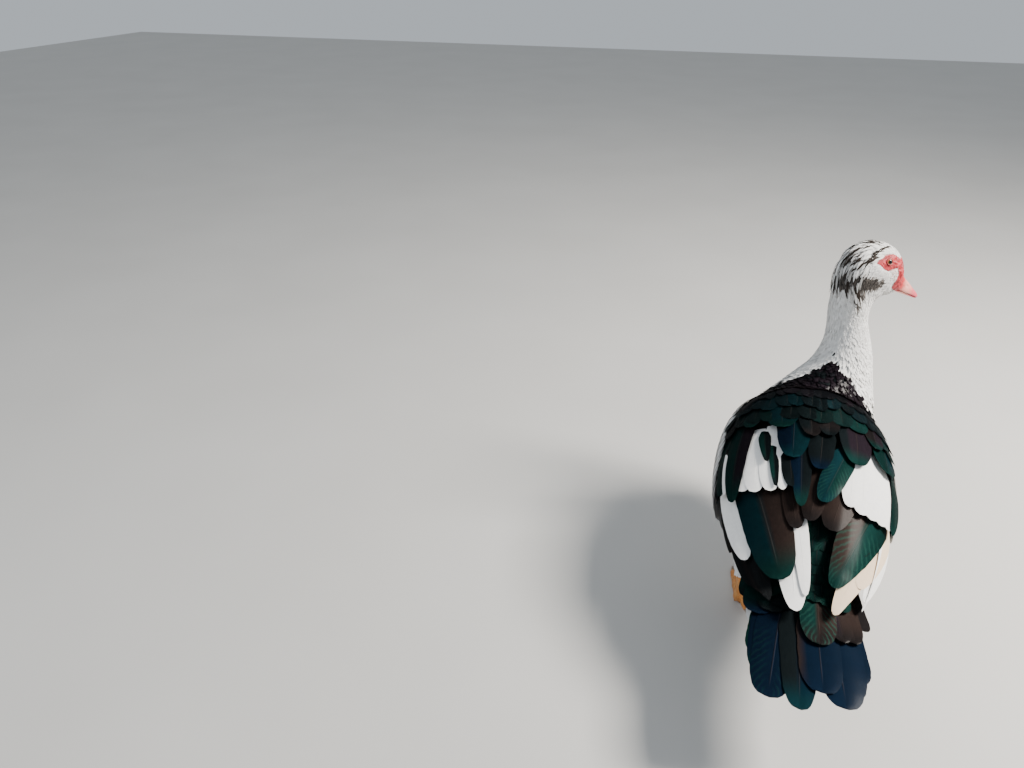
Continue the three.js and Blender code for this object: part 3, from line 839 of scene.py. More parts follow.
class Sock:
    """A shader socket that plain arithmetic works on."""

    def __init__(self, shader: "Shader", socket: bpy.types.NodeSocket) -> None:
        """Keeps the socket and the shader that it belongs to."""
        self.shader = shader
        self.socket = socket

    def __add__(self, other: "Sock | float") -> "Sock":
        """self + other"""
        return self.shader.maths("ADD", self, other)

    __radd__ = __add__

    def __sub__(self, other: "Sock | float") -> "Sock":
        """self - other"""
        return self.shader.maths("SUBTRACT", self, other)

    def __rsub__(self, other: float) -> "Sock":
        """other - self"""
        return self.shader.maths("SUBTRACT", other, self)

    def __mul__(self, other: "Sock | float") -> "Sock":
        """self * other"""
        return self.shader.maths("MULTIPLY", self, other)

    __rmul__ = __mul__

    def __truediv__(self, other: "Sock | float") -> "Sock":
        """self / other"""
        return self.shader.maths("DIVIDE", self, other)

    def __pow__(self, other: "Sock | float") -> "Sock":
        """self to the power of other"""
        return self.shader.maths("POWER", self, other)

    def __abs__(self) -> "Sock":
        """The size of self"""
        return self.shader.maths("ABSOLUTE", self, 0.0)

    def sine(self) -> "Sock":
        """Sine of self, in radians."""
        return self.shader.maths("SINE", self, 0.0)

    def between(self, low: float, high: float) -> "Sock":
        """0 below low, 1 above high, and a smooth step between them."""
        return self.shader.node("ShaderNodeMapRange", {"interpolation_type": "SMOOTHSTEP"},
                                {0: self, 1: low, 2: high, 3: 0.0, 4: 1.0})


class Shader:
    """A material with one Principled shader, built by expressions."""

    def __init__(self, name: str, roughness: float, coat: float = 0.0, subsurface: float = 0.0) -> None:
        """Starts a material with the numbers that are the same all over it.

        Args:
            name: the material's name.
            roughness: its roughness.
            coat: weight of its coat.
            subsurface: weight of the light that goes into it.
        """
        self.material = bpy.data.materials.new(name)
        self.material.use_nodes = True
        self.tree = self.material.node_tree
        self.main = self.tree.nodes["Principled BSDF"]
        self.main.inputs["Roughness"].default_value = roughness
        self.main.inputs["Coat Weight"].default_value = coat
        self.main.inputs["Coat Roughness"].default_value = 0.2
        if subsurface:
            self.main.inputs["Subsurface Weight"].default_value = subsurface
            self.main.inputs["Subsurface Radius"].default_value = (0.004, 0.0015, 0.0008)
            self.main.inputs["Subsurface Scale"].default_value = 1.0

    def node(self, kind: str, settings: dict[str, object], sockets: dict[int | str, object],
             output: int | str = 0) -> Sock:
        """A node with its settings first, then its sockets.

        Args:
            kind: the node's type.
            settings: attributes to set before the sockets.
            sockets: values or links by socket name or number.
            output: the output that is wanted.

        Returns:
            The output as a socket.
        """
        made = self.tree.nodes.new(kind)
        for key, value in settings.items():
            setattr(made, key, value)
        for key, value in sockets.items():
            if isinstance(value, Sock):
                self.tree.links.new(value.socket, made.inputs[key])
            else:
                made.inputs[key].default_value = value
        return Sock(self, made.outputs[output])

    def maths(self, operation: str, a: Sock | float, b: Sock | float) -> Sock:
        """A Math node on two values."""
        return self.node("ShaderNodeMath", {"operation": operation}, {0: a, 1: b})

    def mix(self, part: Sock | float, a: Sock | tuple, b: Sock | tuple) -> Sock:
        """Colour a where part is 0 and colour b where it is 1."""
        a, b = (colour if isinstance(colour, Sock) else (*colour, 1.0) for colour in (a, b))
        return self.node("ShaderNodeMix", {"data_type": "RGBA"}, {0: part, 6: a, 7: b}, 2)

    def shade(self, colour: Sock, value: Sock | float) -> Sock:
        """A colour times a number."""
        return self.node("ShaderNodeVectorMath", {"operation": "SCALE"}, {0: colour, "Scale": value})

    def own(self) -> Sock:
        """Object coordinates."""
        return self.node("ShaderNodeTexCoord", {}, {}, "Object")

    def mark(self, name: str, output: str = "Fac") -> Sock:
        """An attribute of the piece."""
        return self.node("ShaderNodeAttribute", {"attribute_name": name}, {}, output)

    def pores(self, scale: float) -> Sock:
        """Distance to the nearest of scattered points, on Object coordinates."""
        return self.node("ShaderNodeTexVoronoi", {}, {"Vector": self.own(), "Scale": scale})

    def axis(self, vector: Sock, number: int) -> Sock:
        """One axis of a vector."""
        return self.node("ShaderNodeSeparateXYZ", {}, {0: vector}, number)

    def noise(self, scale: float, detail: float = 2.0, where: Sock | None = None) -> Sock:
        """Noise about 0.5, on Object coordinates where no others are given."""
        where = where or self.own()
        return self.node("ShaderNodeTexNoise", {}, {"Vector": where, "Scale": scale, "Detail": detail})

    def bumpy(self, height: Sock, distance: float, strength: float = 1.0) -> None:
        """Feeds a height into the normal."""
        bump = self.node("ShaderNodeBump", {}, {"Strength": strength, "Distance": distance, "Height": height})
        self.tree.links.new(bump.socket, self.main.inputs["Normal"])

    def feed(self, name: str, value: Sock) -> None:
        """Links a socket of the Principled shader."""
        self.tree.links.new(value.socket, self.main.inputs[name])


@dataclass(frozen=True)
class PlumageFinish:
    """Feathers: the tint of each vane, its shaft, barbs, ribs of gloss and small wear."""

    name: str
    barbs: float
    slant: float
    shaft: float
    roughness: float
    coat: float
    metal: float = 0.72
    gleam: float = 0.03
    gleam_tint: tuple[float, float, float, float] = (0.12, 0.19, 0.23, 1.0)

    def material(self) -> bpy.types.Material:
        """Builds the material.

        Returns:
            A material that reads the mark tint and the UV map Vane.
        """
        shader = Shader(self.name, self.roughness, self.coat)
        tint = shader.mark("tint", "Color")
        uv = shader.node("ShaderNodeUVMap", {"uv_map": "Vane"}, {})
        v = shader.axis(uv, 1)
        side = abs(shader.axis(uv, 0) - 0.5) * 2.0
        coarse = shader.noise(160.0, 3.0)
        fine = shader.noise(1400.0, 2.0)
        phase = (v - side * self.slant) * self.barbs + fine * 1.2
        barb = (phase * 6.2832).sine() * 0.5 + 0.5
        shaft = (1.0 - (side / self.shaft).between(0.3, 1.0)) * (1.0 - v.between(0.75, 0.95))
        rib_wave = ((v - side * 0.2 + coarse * 0.06) * 92.0).sine().between(-0.1, 1.0)
        rib = shader.mark("rib") * rib_wave * side.between(0.05, 0.5) * v.between(0.3, 0.5)
        pale = shader.node("ShaderNodeRGBToBW", {}, {0: tint}).between(0.05, 0.25)
        colour = shader.shade(tint, coarse * 0.5 + barb * 0.14 + fine * 0.2 + 0.58)
        colour = shader.mix(rib * 0.5, colour, (0.010, 0.040, 0.030))
        colour = shader.mix(shaft * 0.4, colour, shader.mix(0.3, tint, (0.08, 0.06, 0.05)))
        light = shader.shade(tint, coarse * 0.14 + fine * 0.08 + barb * 0.04 + 0.87)
        colour = shader.mix(pale, colour, light)
        shader.feed("Base Color", colour)
        shader.feed("Metallic", self.metal - pale * self.metal)
        shader.feed("Roughness", coarse * 0.22 + (pale * 0.3 + self.roughness - 0.1))
        shader.main.inputs["Specular IOR Level"].default_value = self.gleam
        shader.main.inputs["Specular Tint"].default_value = self.gleam_tint
        shader.bumpy(barb * 0.6 + shaft * 1.5 + fine * 0.5, 0.0003, 0.7)
        return shader.material


@dataclass(frozen=True)
class SkinFinish:
    """The skin under the coat: down of the coat's colour, and bare red skin on the face."""

    name: str

    def material(self) -> bpy.types.Material:
        """Builds the material.

        Returns:
            A material that reads the marks tint and bare.
        """
        shader = Shader(self.name, 0.7)
        tint = shader.mark("tint", "Color")
        bare = shader.mark("bare")
        patches = shader.noise(120.0, 4.0)
        down = shader.shade(tint, patches * 0.5 + 0.6)
        red = shader.mix(patches.between(0.3, 0.7), (0.30, 0.005, 0.012), (0.56, 0.035, 0.045))
        shader.feed("Base Color", shader.mix(bare, down, red))
        shader.feed("Roughness", 0.75 - bare * 0.35)
        shader.bumpy(shader.pores(900.0) * bare + patches, 0.0006, 0.8)
        return shader.material


@dataclass(frozen=True)
class RedSkinFinish:
    """Lids: glossy red skin with fine folds."""

    name: str
    deep: tuple[float, float, float] = (0.30, 0.02, 0.02)
    light: tuple[float, float, float] = (0.55, 0.08, 0.07)

    def material(self) -> bpy.types.Material:
        """Builds the material.

        Returns:
            A material with pores and patches of two reds.
        """
        shader = Shader(self.name, 0.42, 0.15, 0.12)
        patches = shader.noise(260.0, 3.0)
        shader.feed("Base Color", shader.mix(patches.between(0.3, 0.72), self.deep, self.light))
        shader.bumpy(shader.pores(1100.0) + patches, 0.0004, 0.8)
        return shader.material


@dataclass(frozen=True)
class BillFinish:
    """Horn of the bill: red at the base, pale in the middle, pink towards the nail."""

    name: str

    def material(self) -> bpy.types.Material:
        """Builds the material.

        Returns:
            A material that reads the mark reach, 0 at the base and 1 at the tip.
        """
        shader = Shader(self.name, 0.36, 0.2, 0.08)
        reach = shader.mark("reach")
        cloud = shader.noise(170.0, 3.0)
        fine = shader.noise(900.0, 3.0)
        low = (reach + cloud * 0.25 - 0.12).between(0.06, 0.34)
        high = (reach + cloud * 0.3 - 0.15).between(0.4, 0.72)
        colour = shader.mix(low, (0.52, 0.026, 0.032), (0.78, 0.33, 0.27))
        colour = shader.mix(high, colour, (0.66, 0.095, 0.13))
        colour = shader.mix(fine.between(0.62, 0.8) * 0.35, colour, (0.42, 0.14, 0.12))
        shader.feed("Base Color", colour)
        shader.feed("Roughness", fine * 0.2 + 0.27)
        shader.bumpy(fine + cloud, 0.0003, 0.6)
        return shader.material


@dataclass(frozen=True)
class EyeFinish:
    """Eye: dark pupil, yellow-brown iris with fine spokes, and a wet coat."""

    name: str

    def material(self) -> bpy.types.Material:
        """Builds the material.

        Returns:
            A material that reads the mark gaze, the cosine from the middle of the pupil.
        """
        shader = Shader(self.name, 0.08, 0.4)
        shader.main.inputs["Specular IOR Level"].default_value = 0.25
        shader.main.inputs["Coat Roughness"].default_value = 0.03
        gaze = shader.mark("gaze")
        spokes = shader.noise(2600.0, 2.0)
        iris = shader.mix(spokes, (0.13, 0.065, 0.010), (0.40, 0.24, 0.045))
        iris = shader.mix(gaze.between(0.60, 0.70), (0.05, 0.02, 0.008), iris)
        shader.feed("Base Color", shader.mix(gaze.between(0.80, 0.82), iris, (0.002, 0.002, 0.002)))
        return shader.material


@dataclass(frozen=True)
class LegFinish:
    """Scaly orange skin of the legs, toes and webs, darker in patches near the floor."""

    name: str
    base: tuple[float, float, float] = (0.72, 0.26, 0.045)
    dark: tuple[float, float, float] = (0.24, 0.085, 0.03)

    def material(self) -> bpy.types.Material:
        """Builds the material.

        Returns:
            A material with scutes by a cell pattern, darker between them and low down.
        """
        shader = Shader(self.name, 0.5, 0.05, 0.05)
        where = shader.own()
        cells = shader.node("ShaderNodeTexVoronoi", {"feature": "DISTANCE_TO_EDGE"},
                            {"Vector": where, "Scale": 420.0})
        cloud = shader.noise(90.0, 4.0)
        gaps = 1.0 - cells.between(0.0, 0.16)
        # Darker in cloudy patches within 14 mm of the floor.
        low = 1.0 - shader.axis(where, 2).between(0.0, 0.014)
        colour = shader.mix(cloud.between(0.3, 0.75), self.base, (0.80, 0.40, 0.12))
        colour = shader.mix(gaps * 0.55 + low * cloud * 0.5, colour, self.dark)
        shader.feed("Base Color", colour)
        shader.feed("Roughness", cloud * 0.3 + 0.35)
        shader.bumpy(cells.between(0.0, 0.3) + cloud * 0.4, 0.0005, 0.8)
        return shader.material


@dataclass(frozen=True)
class ClawFinish:
    """Horn of the claws: brown, with growth lines."""

    name: str

    def material(self) -> bpy.types.Material:
        """Builds the material.

        Returns:
            A material with stretched noise.
        """
        shader = Shader(self.name, 0.38, 0.1)
        stretch = shader.node("ShaderNodeMapping", {}, {"Vector": shader.own(), "Scale": (1.0, 0.3, 1.0)})
        lines = shader.noise(700.0, 3.0, stretch)
        shader.feed("Base Color", shader.mix(lines, (0.10, 0.06, 0.035), (0.34, 0.24, 0.16)))
        shader.bumpy(lines, 0.0003, 0.6)
        return shader.material


# The bird's markings


# Edge of the dark mantle against the white neck: angle from the back and station row.
MANTLE_EDGE = np.array([
    [-180, 3.0], [-100, 3.5], [-75, 6.6], [-60, 7.3], [-44, 7.9], [-39, 8.5], [-18, 9.95], [-4, 10.3],
    [8, 10.7], [20, 11.15], [26, 10.35], [38, 9.45], [60, 9.0], [75, 8.7], [82, 6.4], [100, 3.5],
    [180, 3.0],
])
# Dark places of the head: row, angle, half size in rows and in degrees, and strength.
HEAD_BLOTS = np.array([
    [18.35, -100, 0.5, 8, 0.9],
    [17.6, -94, 0.75, 14, 1.0],
    [17.1, -80, 0.75, 15, 1.0],
    [16.95, -64, 0.6, 13, 1.0],
    [16.3, -56, 0.75, 16, 0.95],
    [16.2, -38, 0.7, 14, 0.9],
    [15.9, -70, 0.7, 10, 0.9],
    [15.3, -60, 0.65, 9, 0.85],
    [14.8, -50, 0.6, 7, 0.7],
    [16.0, -22, 0.8, 14, 0.9],
    [16.0, -4, 0.7, 14, 0.85],
    [15.6, 14, 0.65, 16, 0.9],
    [15.7, 38, 0.7, 20, 0.9],
    [16.3, 62, 0.8, 16, 0.95],
    [17.2, 88, 0.8, 15, 0.95],
    [18.2, 100, 0.7, 10, 0.9],
    [16.8, -24, 0.7, 12, 0.75],
    [17.2, -10, 0.75, 12, 0.62],
    [17.7, -24, 0.7, 10, 0.6],
    [18.3, -13, 0.6, 9, 0.55],
    [18.0, 2, 0.7, 8, 0.5],
    [17.3, 30, 0.7, 14, 0.6],
    [19.75, -12, 0.45, 8, 0.75],
    [19.3, -2, 0.5, 6, 0.6],
])
# Thin dark streaks over the crown: each from one row and angle to another, and its half width.
HEAD_STREAKS = np.array([
    [20.8, -21, 19.77, -38, 1.6],
    [19.77, -38, 19.05, -44, 1.8],
    [19.05, -44, 18.35, -47, 1.8],
    [18.35, -47, 17.75, -44, 2.0],
    [17.75, -44, 16.87, -29, 2.2],
    [20.6, -26, 19.17, -40, 1.2],
    [19.17, -48, 18.51, -50, 1.6],
    [18.51, -50, 18.05, -52, 1.6],
    [18.35, -40, 17.2, -22, 1.8],
    [19.2, -20, 17.0, 2, 1.6],
    [18.6, -30, 17.1, -10, 1.6],
    [20.3, -8, 19.2, -2, 2.4],
    [20.6, 26, 19.2, 38, 2.4],
    [19.2, 40, 17.0, 36, 3.0],
    [20.0, 8, 18.4, 10, 2.4],
])
# Station row from which feathers belong to the head.
HEAD_ROW = 12.6
# Share of a feather's length, from its root, at which the bird's markings are read.
SHOWN = 0.6


def patchwork(points: Array, size: float, seed: int) -> Array:
    """Soft random numbers from 0 to 1 over places in millimetres.

    Formula: the sum of five sines of seeded ways and wave lengths near the size, divided to
    stay between 0 and 1.

    Args:
        points: places.
        size: wave length in millimetres.
        seed: seed of the draw.

    Returns:
        A number for each place.
    """
    rng = np.random.default_rng(seed)
    ways = unit(rng.normal(size=(5, 3))) * (2 * np.pi / (size * rng.uniform(0.7, 1.4, (5, 1))))
    total = sum(np.sin(points @ way + phase) for way, phase in zip(ways, rng.uniform(0, 6.28, 5)))
    return np.clip(total / 6 + 0.5, 0, 1)


def head_dark(row: Array, angle: Array) -> Array:
    """How dark the head's plumage is, from 0 to 1.

    Formula: the strongest of the blots, each falling from its middle by the distance in its own
    half sizes, and of the streaks, each falling with the angle from its line.

    Args:
        row: station rows.
        angle: angles from the back.

    Returns:
        Darkness at each place.
    """
    dark = np.zeros(np.shape(row))
    for at_row, at_angle, rows, degrees, strength in HEAD_BLOTS:
        far = np.hypot((row - at_row) / rows, (angle - at_angle) / degrees)
        dark = np.maximum(dark, strength * soften((1.35 - far) / 0.7))
    for row_a, angle_a, row_b, angle_b, half in HEAD_STREAKS:
        part = np.clip((row - row_a) / (row_b - row_a), 0, 1)
        line = np.hypot((angle - blend(angle_a, angle_b, part)) / half,
                        (row - blend(row_a, row_b, part)) / 0.12)
        dark = np.maximum(dark, soften((1.3 - line) / 0.6))
    return dark


def body_dark(row: Array, angle: Array) -> Array:
    """1 in the dark mantle and 0 in the white neck, breast and belly, by the mantle's edge."""
    edge = np.interp(angle, MANTLE_EDGE[:, 0], MANTLE_EDGE[:, 1])
    return soften((edge - row) / 0.12 + 0.5)


# The bare patch round the eye, as station row and the angles of its upper and lower edge.
FACE_PATCH = np.array([
    [18.9, 60.5, 61.5], [19.1, 57, 66], [19.35, 54, 79], [19.7, 50, 84], [20.0, 48, 82],
    [20.4, 45, 80], [20.9, 43.5, 77], [21.25, 46, 73], [21.6, 50, 60],
])
# The ridge from the forehead to the corner of the mouth: angle and the row where it begins.
FACE_RIDGE = np.array([
    [0, 22.35], [30, 22.0], [50, 21.45], [60, 21.3], [78, 20.95], [92, 21.0], [104, 20.7], [114, 20.1],
    [124, 19.75], [134, 19.9], [150, 21.6], [180, 22.6],
])


def bare_face(row: Array, angle: Array) -> Array:
    """How bare and red the face is: a patch round each eye with a point behind, and the ridge.

    Formula: the patch lies between two angles that are read from a table by row; the ridge
    lies ahead of a row that is read from a table by angle. Both edges are smooth steps.

    Args:
        row: station rows.
        angle: angles from the back, of either side.

    Returns:
        1 on bare skin, 0 on feathers.
    """
    a = np.abs(angle)
    upper = np.interp(row, FACE_PATCH[:, 0], FACE_PATCH[:, 1])
    lower = np.interp(row, FACE_PATCH[:, 0], FACE_PATCH[:, 2])
    inside = np.minimum(a - upper, lower - a) / 3.0
    patch = soften(inside + 0.5) * (row > FACE_PATCH[0, 0]) * (row < FACE_PATCH[-1, 0])
    ridge = soften((row - np.interp(a, FACE_RIDGE[:, 0], FACE_RIDGE[:, 1])) / 0.16 + 0.5)
    return np.maximum(patch, ridge)


# Body

# Place of the eye: station row and angle.
EYE_ROW, EYE_ANGLE = 20.11, 64.0
# Coat: station row, feather length, half width and lift of the tip.
COAT_SIZES = np.array([
    [0, 32, 9, 2.0], [1.5, 28, 9, 2.2], [4, 24, 8.5, 2.2], [7.5, 19, 6.6, 2.4], [8.6, 17, 5.4, 2.4],
    [10, 15, 3.7, 2.2], [11.5, 13.5, 2.9, 2.1], [13, 12.5, 2.4, 2.0], [15.5, 12.5, 2.1, 2.0],
    [17, 9.5, 1.7, 1.5], [19, 6.6, 1.35, 1.1], [21, 4.2, 1.1, 0.8], [23, 3.0, 0.95, 0.6],
], float)


def plain(ring: Array, tone: Tone) -> Solid:
    """A closed body of rings with one tone and no bare skin."""
    return shell(ring, {"tint": np.broadcast_to(tone.rgb, ring.shape), "bare": np.zeros(ring.shape[:2])})


@dataclass
class BodySkin:
    """One skin over torso, neck, head, thighs and tail root, inside the coat."""

    tube: BodyTube
    body_rows: int = 150
    head_rows: int = 150
    sides: int = 160
    # Under the tail: y, z, half width and half height.
    tail_root: tuple[tuple[float, ...], ...] = (
        (140, 172, 34, 30), (172, 166, 40, 20), (190, 163, 46, 14), (212, 160, 50, 9), (240, 157, 47, 3))
    bulbs: int = 210

    def depth(self, row: Array) -> Array:
        """Depth of the coat over the skin, in millimetres, by station row."""
        return np.interp(row, [0, 1, 8, 10, 13, 16, 18, 21, 23], [5, 7, 8, 5, 3.4, 2.4, 1.5, 0.8, 0.5])

    def seeds(self) -> tuple[Array, Array, Array]:
        """Bulbs of the bare face, drawn from a seed and clear of the eye.

        Returns:
            Rows, angles and radii in millimetres, for both sides.
        """
        rng = np.random.default_rng(11)
        row = rng.uniform(19.0, 22.95, 1400)
        angle = rng.uniform(15, 140, 1400)
        far = np.hypot((row - EYE_ROW) * 16, (angle - EYE_ANGLE) * 0.5)
        keep = (bare_face(row, angle) > 0.6) & (far > 6.4)
        row, angle = row[keep][:self.bulbs], angle[keep][:self.bulbs]
        size = rng.uniform(0.8, 1.9, len(row)) * np.where(row > 20.9, 1.25, 1.0)
        return np.concatenate([row, row]), np.concatenate([angle, -angle]), np.concatenate([size, size])

    def swell(self, points: Array) -> Array:
        """Height of the face's bulbs over the skin.

        Formula: each bulb is a dome whose height falls to 0 at its radius, and the highest
        dome counts at each place.

        Args:
            points: places on the skin.

        Returns:
            Heights in millimetres.
        """
        rows, angles, sizes = self.seeds()
        middles = self.tube.place(rows, angles)
        height = np.zeros(points.shape[:-1])
        for middle, size in zip(middles, sizes):
            far = np.sum((points - middle) ** 2, -1) / (size * 1.25) ** 2
            height = np.maximum(height, size * 0.75 * np.maximum(1 - far, 0) ** 0.7)
        return height

    def build(self) -> None:
        """The skin.

        Formula: the body tube moved in by the coat's depth and out by the bulbs of the face,
        joined with rings along each thigh and along the tail root. It is marked with tint and
        bare.
        """
        rows = np.concatenate([np.linspace(0, 17, self.body_rows), np.linspace(17.04, 23, self.head_rows)])
        angle = np.linspace(-180, 180, self.sides, endpoint=False)
        row, angle = np.meshgrid(rows, angle, indexing="ij")
        at, out, _ = self.tube.frames(row, angle)
        bare = bare_face(row, angle)
        at = at - out * self.depth(row)[..., None]
        at[-self.head_rows:] += (out * (self.swell(at) * bare)[..., None])[-self.head_rows:]
        dark = np.where(row > 13.4, head_dark(row, angle), body_dark(row, angle))
        tint = blend(Tone.WHITE.rgb * 0.9, Tone.SOOT.rgb, dark[..., None])
        tint = tint * (0.85 + 0.2 * patchwork(at, 9, 3)[..., None])
        parts = [shell(at, {"tint": tint, "bare": bare})]
        for side in (LEFT, RIGHT):
            path = ThighTube(side, THIGH_LINE[:4]).line(np.linspace(0, 3, 26))
            parts.append(plain(sweep(path[:, :3], path[:, 3], path[:, 3], 40, THIGH_UP), Tone.WHITE))
        root = smooth_rows(np.array(self.tail_root), np.linspace(0, 4, 30))
        path = np.stack([0 * root[:, 0], root[:, 0], root[:, 1]], -1)
        parts.append(plain(sweep(path, root[:, 2], root[:, 3], 48, UP), Tone.SOOT))
        solid_piece("body_skin", joined(parts), SkinFinish("skin_and_down").material(), "plumage_white",
                    "torso", "neck", "head", "thigh_left", "thigh_right")


@dataclass
class BodyCoat:
    """Small feathers of torso, neck and head, in staggered rings from the bill to the tail."""

    tube: BodyTube
    along_share: float = 0.34
    across_share: float = 1.3

    def size(self, row: Array, column: int) -> Array:
        """A column of the sizes at station rows."""
        return np.interp(row, COAT_SIZES[:, 0], COAT_SIZES[:, column])

    def roots(self) -> tuple[Array, Array]:
        """Rows and angles of all feather roots.

        Formula: along each angle the path length divided by the feather spacing counts the
        rings, and round each ring the path length divided by the feather width counts the
        feathers, every second ring shifted by half a feather.

        Returns:
            Station rows and angles.
        """
        rng = np.random.default_rng(5)
        angle = np.linspace(-180, 180, 181)
        row = np.linspace(22.95, 0.2, 700)
        at = self.tube.place(row[:, None], angle[None])
        step = np.linalg.norm(np.diff(at, axis=0), axis=-1)
        middle = (row[1:] + row[:-1]) / 2
        count = np.cumsum(step / (self.size(middle, 1) * self.along_share)[:, None], 0)
        rings = np.arange(1, int(count.max()))
        ring_row = np.stack([np.interp(rings, count[:, k], middle, right=np.nan) for k in range(181)], 1)
        rows, angles = [], []
        for j, line in enumerate(ring_row):
            safe = np.where(np.isnan(line), 0.2, line)
            points = self.tube.place(safe, angle)
            gap = np.linalg.norm(np.diff(points, axis=0), axis=-1)
            wide = self.size((safe[1:] + safe[:-1]) / 2, 2) * self.across_share
            total = np.concatenate([[0], np.cumsum(gap / wide)])
            number = max(int(total[-1]), 3)
            places = (np.arange(number) + 0.5 * (j % 2) + rng.uniform(-0.2, 0.2, number)) * total[-1] / number
            turned = np.interp(places, total, angle)
            own = np.interp(turned, angle, safe)
            lost = np.interp(turned, angle, np.isnan(line).astype(float)) > 0
            rows.append(own[~lost])
            angles.append(turned[~lost])
        return np.concatenate(rows), np.concatenate(angles)

    def covered(self, row: Array, angle: Array) -> Array:
        """Whether a root lies well under a folded wing.

        Args:
            row: station rows.
            angle: angles from the back.

        Returns:
            True under a wing.
        """
        x, y, z = self.tube.place(row, angle).T
        top, half, middle = read_at(ENVELOPE, y)
        turn = np.degrees(np.arctan2(np.abs(x) / half, (z - middle) / (top - middle)))
        return (y > -98) & (y < 130) & (turn > 22) & (turn < 96) & (row < 9)

    def tints(self, row: Array, angle: Array, run: Array, rng: np.random.Generator) -> tuple[Array, Array]:
        """Which feathers are dark, and all their colours.

        Formula: white with single grey feathers on the neck; the head's blots and streaks
        brown, the mantle near black, and a reddish edge round the bare face.

        Args:
            row: station rows of the roots.
            angle: angles of the roots.
            run: rows that each feather runs over.
            rng: the draw that the coat uses.

        Returns:
            True for the mantle's feathers, and the colours.
        """
        n, at, shown = len(row), self.tube.place(row, angle), row - SHOWN * run
        ragged = shown + 0.10 * rng.uniform(-1, 1, n) + 0.7 * (patchwork(at, 17, 4) - 0.5)
        dark = np.where(row > HEAD_ROW, 0, body_dark(ragged, angle)) > 0.5
        streak = head_dark(shown + rng.uniform(-0.15, 0.15, n), angle + rng.uniform(-4, 4, n))
        streak = np.where(row > HEAD_ROW - 0.2, streak, 0)
        blush = (row > 20.2) & (np.abs(angle) > 78) & (np.abs(angle) < 122) & (rng.uniform(0, 1, n) < 0.55)
        white = Tone.WHITE.rgb * rng.uniform(0.9, 1.06, (n, 1))
        speckled = 0.035 + 0.10 * patchwork(at, 40, 8) * (row > 9.5) * (row < 15)
        mottle = (rng.uniform(0, 1, n) < speckled) & (row > 9.3)
        tint = blend(white, Tone.GREY.rgb, (0.45 * mottle)[:, None])
        choice = patchwork(at, 60, 9)[:, None] + rng.uniform(-0.2, 0.2, (n, 1))
        night = blend(Tone.SOOT.rgb, Tone.PURPLE.rgb, soften(choice * 2))
        night = blend(night, Tone.BLACK.rgb, soften(choice * 3 - 1.6))
        deep = np.clip(streak + rng.uniform(-0.35, 0.2, n), 0, 1)[:, None]
        sooty = blend(np.array((0.30, 0.25, 0.215)), np.array((0.024, 0.018, 0.015)), deep ** 0.8)
        part = soften((streak - rng.uniform(0.0, 0.8, n)) / 0.4 + 0.35)
        tint = blend(tint, sooty, part[:, None] * 0.94)
        tint = np.where(dark[:, None], night, tint)
        return dark, np.where(blush[:, None], tint * np.array((0.97, 0.76, 0.72)), tint)

    def build(self) -> None:
        """The coat of each side in three pieces: dark mantle, white body and neck, and head."""
        rng = np.random.default_rng(6)
        row, angle = self.roots()
        row = row + rng.uniform(-0.5, 0.5, len(row)) * 2.2 / self.tube.speed(row, angle)
        behind = row - self.size(row, 1) / self.tube.speed(row, angle)
        bare = [bare_face(blend(row, behind, part), angle) for part in (0.0, 0.5, 1.0)]
        keep = ~self.covered(row, angle) & (np.max(bare, 0) < 0.5)
        row, angle = row[keep], angle[keep]
        n = len(row)
        length = self.size(row, 1) * rng.uniform(0.85, 1.2, n)
        half = self.size(row, 2) * rng.uniform(0.85, 1.15, n)
        run = length / self.tube.speed(row, angle)
        dark, tint = self.tints(row, angle, run, rng)
        sway = rng.uniform(-1, 1, n) * np.degrees(0.16 * length / 60)
        lift = self.size(row, 3) * rng.uniform(0.5, 1.3, n)
        coat = Plume(np.stack([row, angle], -1), np.stack([row - run, angle + sway], -1), half,
                     -0.75 * BodySkin(self.tube).depth(row), lift - 1.0, tint,
                     home=self.tube.home(row, angle))
        head = row > HEAD_ROW
        night, day = Finish.DARK_SMALL, Finish.WHITE_SMALL
        for name, here, cut, finish, slot in (
            ("coat_dark", dark & ~head, Cut(6, 5, 0.5, 0.4, 0.5, 2.2, 0.3, 0.06), night, "plumage_dark"),
            ("coat_white", ~dark & ~head, Cut(5, 3, 0.5, 0.45, 0.3, 1.5, 0.3, 0.10), day, "plumage_white"),
            ("coat_head", head, Cut(5, 3, 0.5, 0.4, 0.25, 1.3, 0.25, 0.14), day, "plumage_white"),
        ):
            group = coat.chosen(here)
            group.tile = rng.uniform(-0.25, 0.25, len(group.start)) * group.half * 0.3
            left = group.start[:, 1] >= 0
            feather_piece(f"{name}_left", self.tube, group.chosen(left), cut, finish, slot)
            feather_piece(f"{name}_right", self.tube, group.chosen(~left), cut, finish, slot)


class Finish(Enum):
    """Plumage finishes by use."""

    WHITE_SMALL = PlumageFinish("white_contour", 14.0, 0.22, 0.10, 0.78, 0.0)
    DARK_SMALL = PlumageFinish("dark_contour", 18.0, 0.22, 0.06, 0.48, 0.08)
    LARGE = PlumageFinish("large_vanes", 110.0, 0.12, 0.045, 0.51, 0.04)


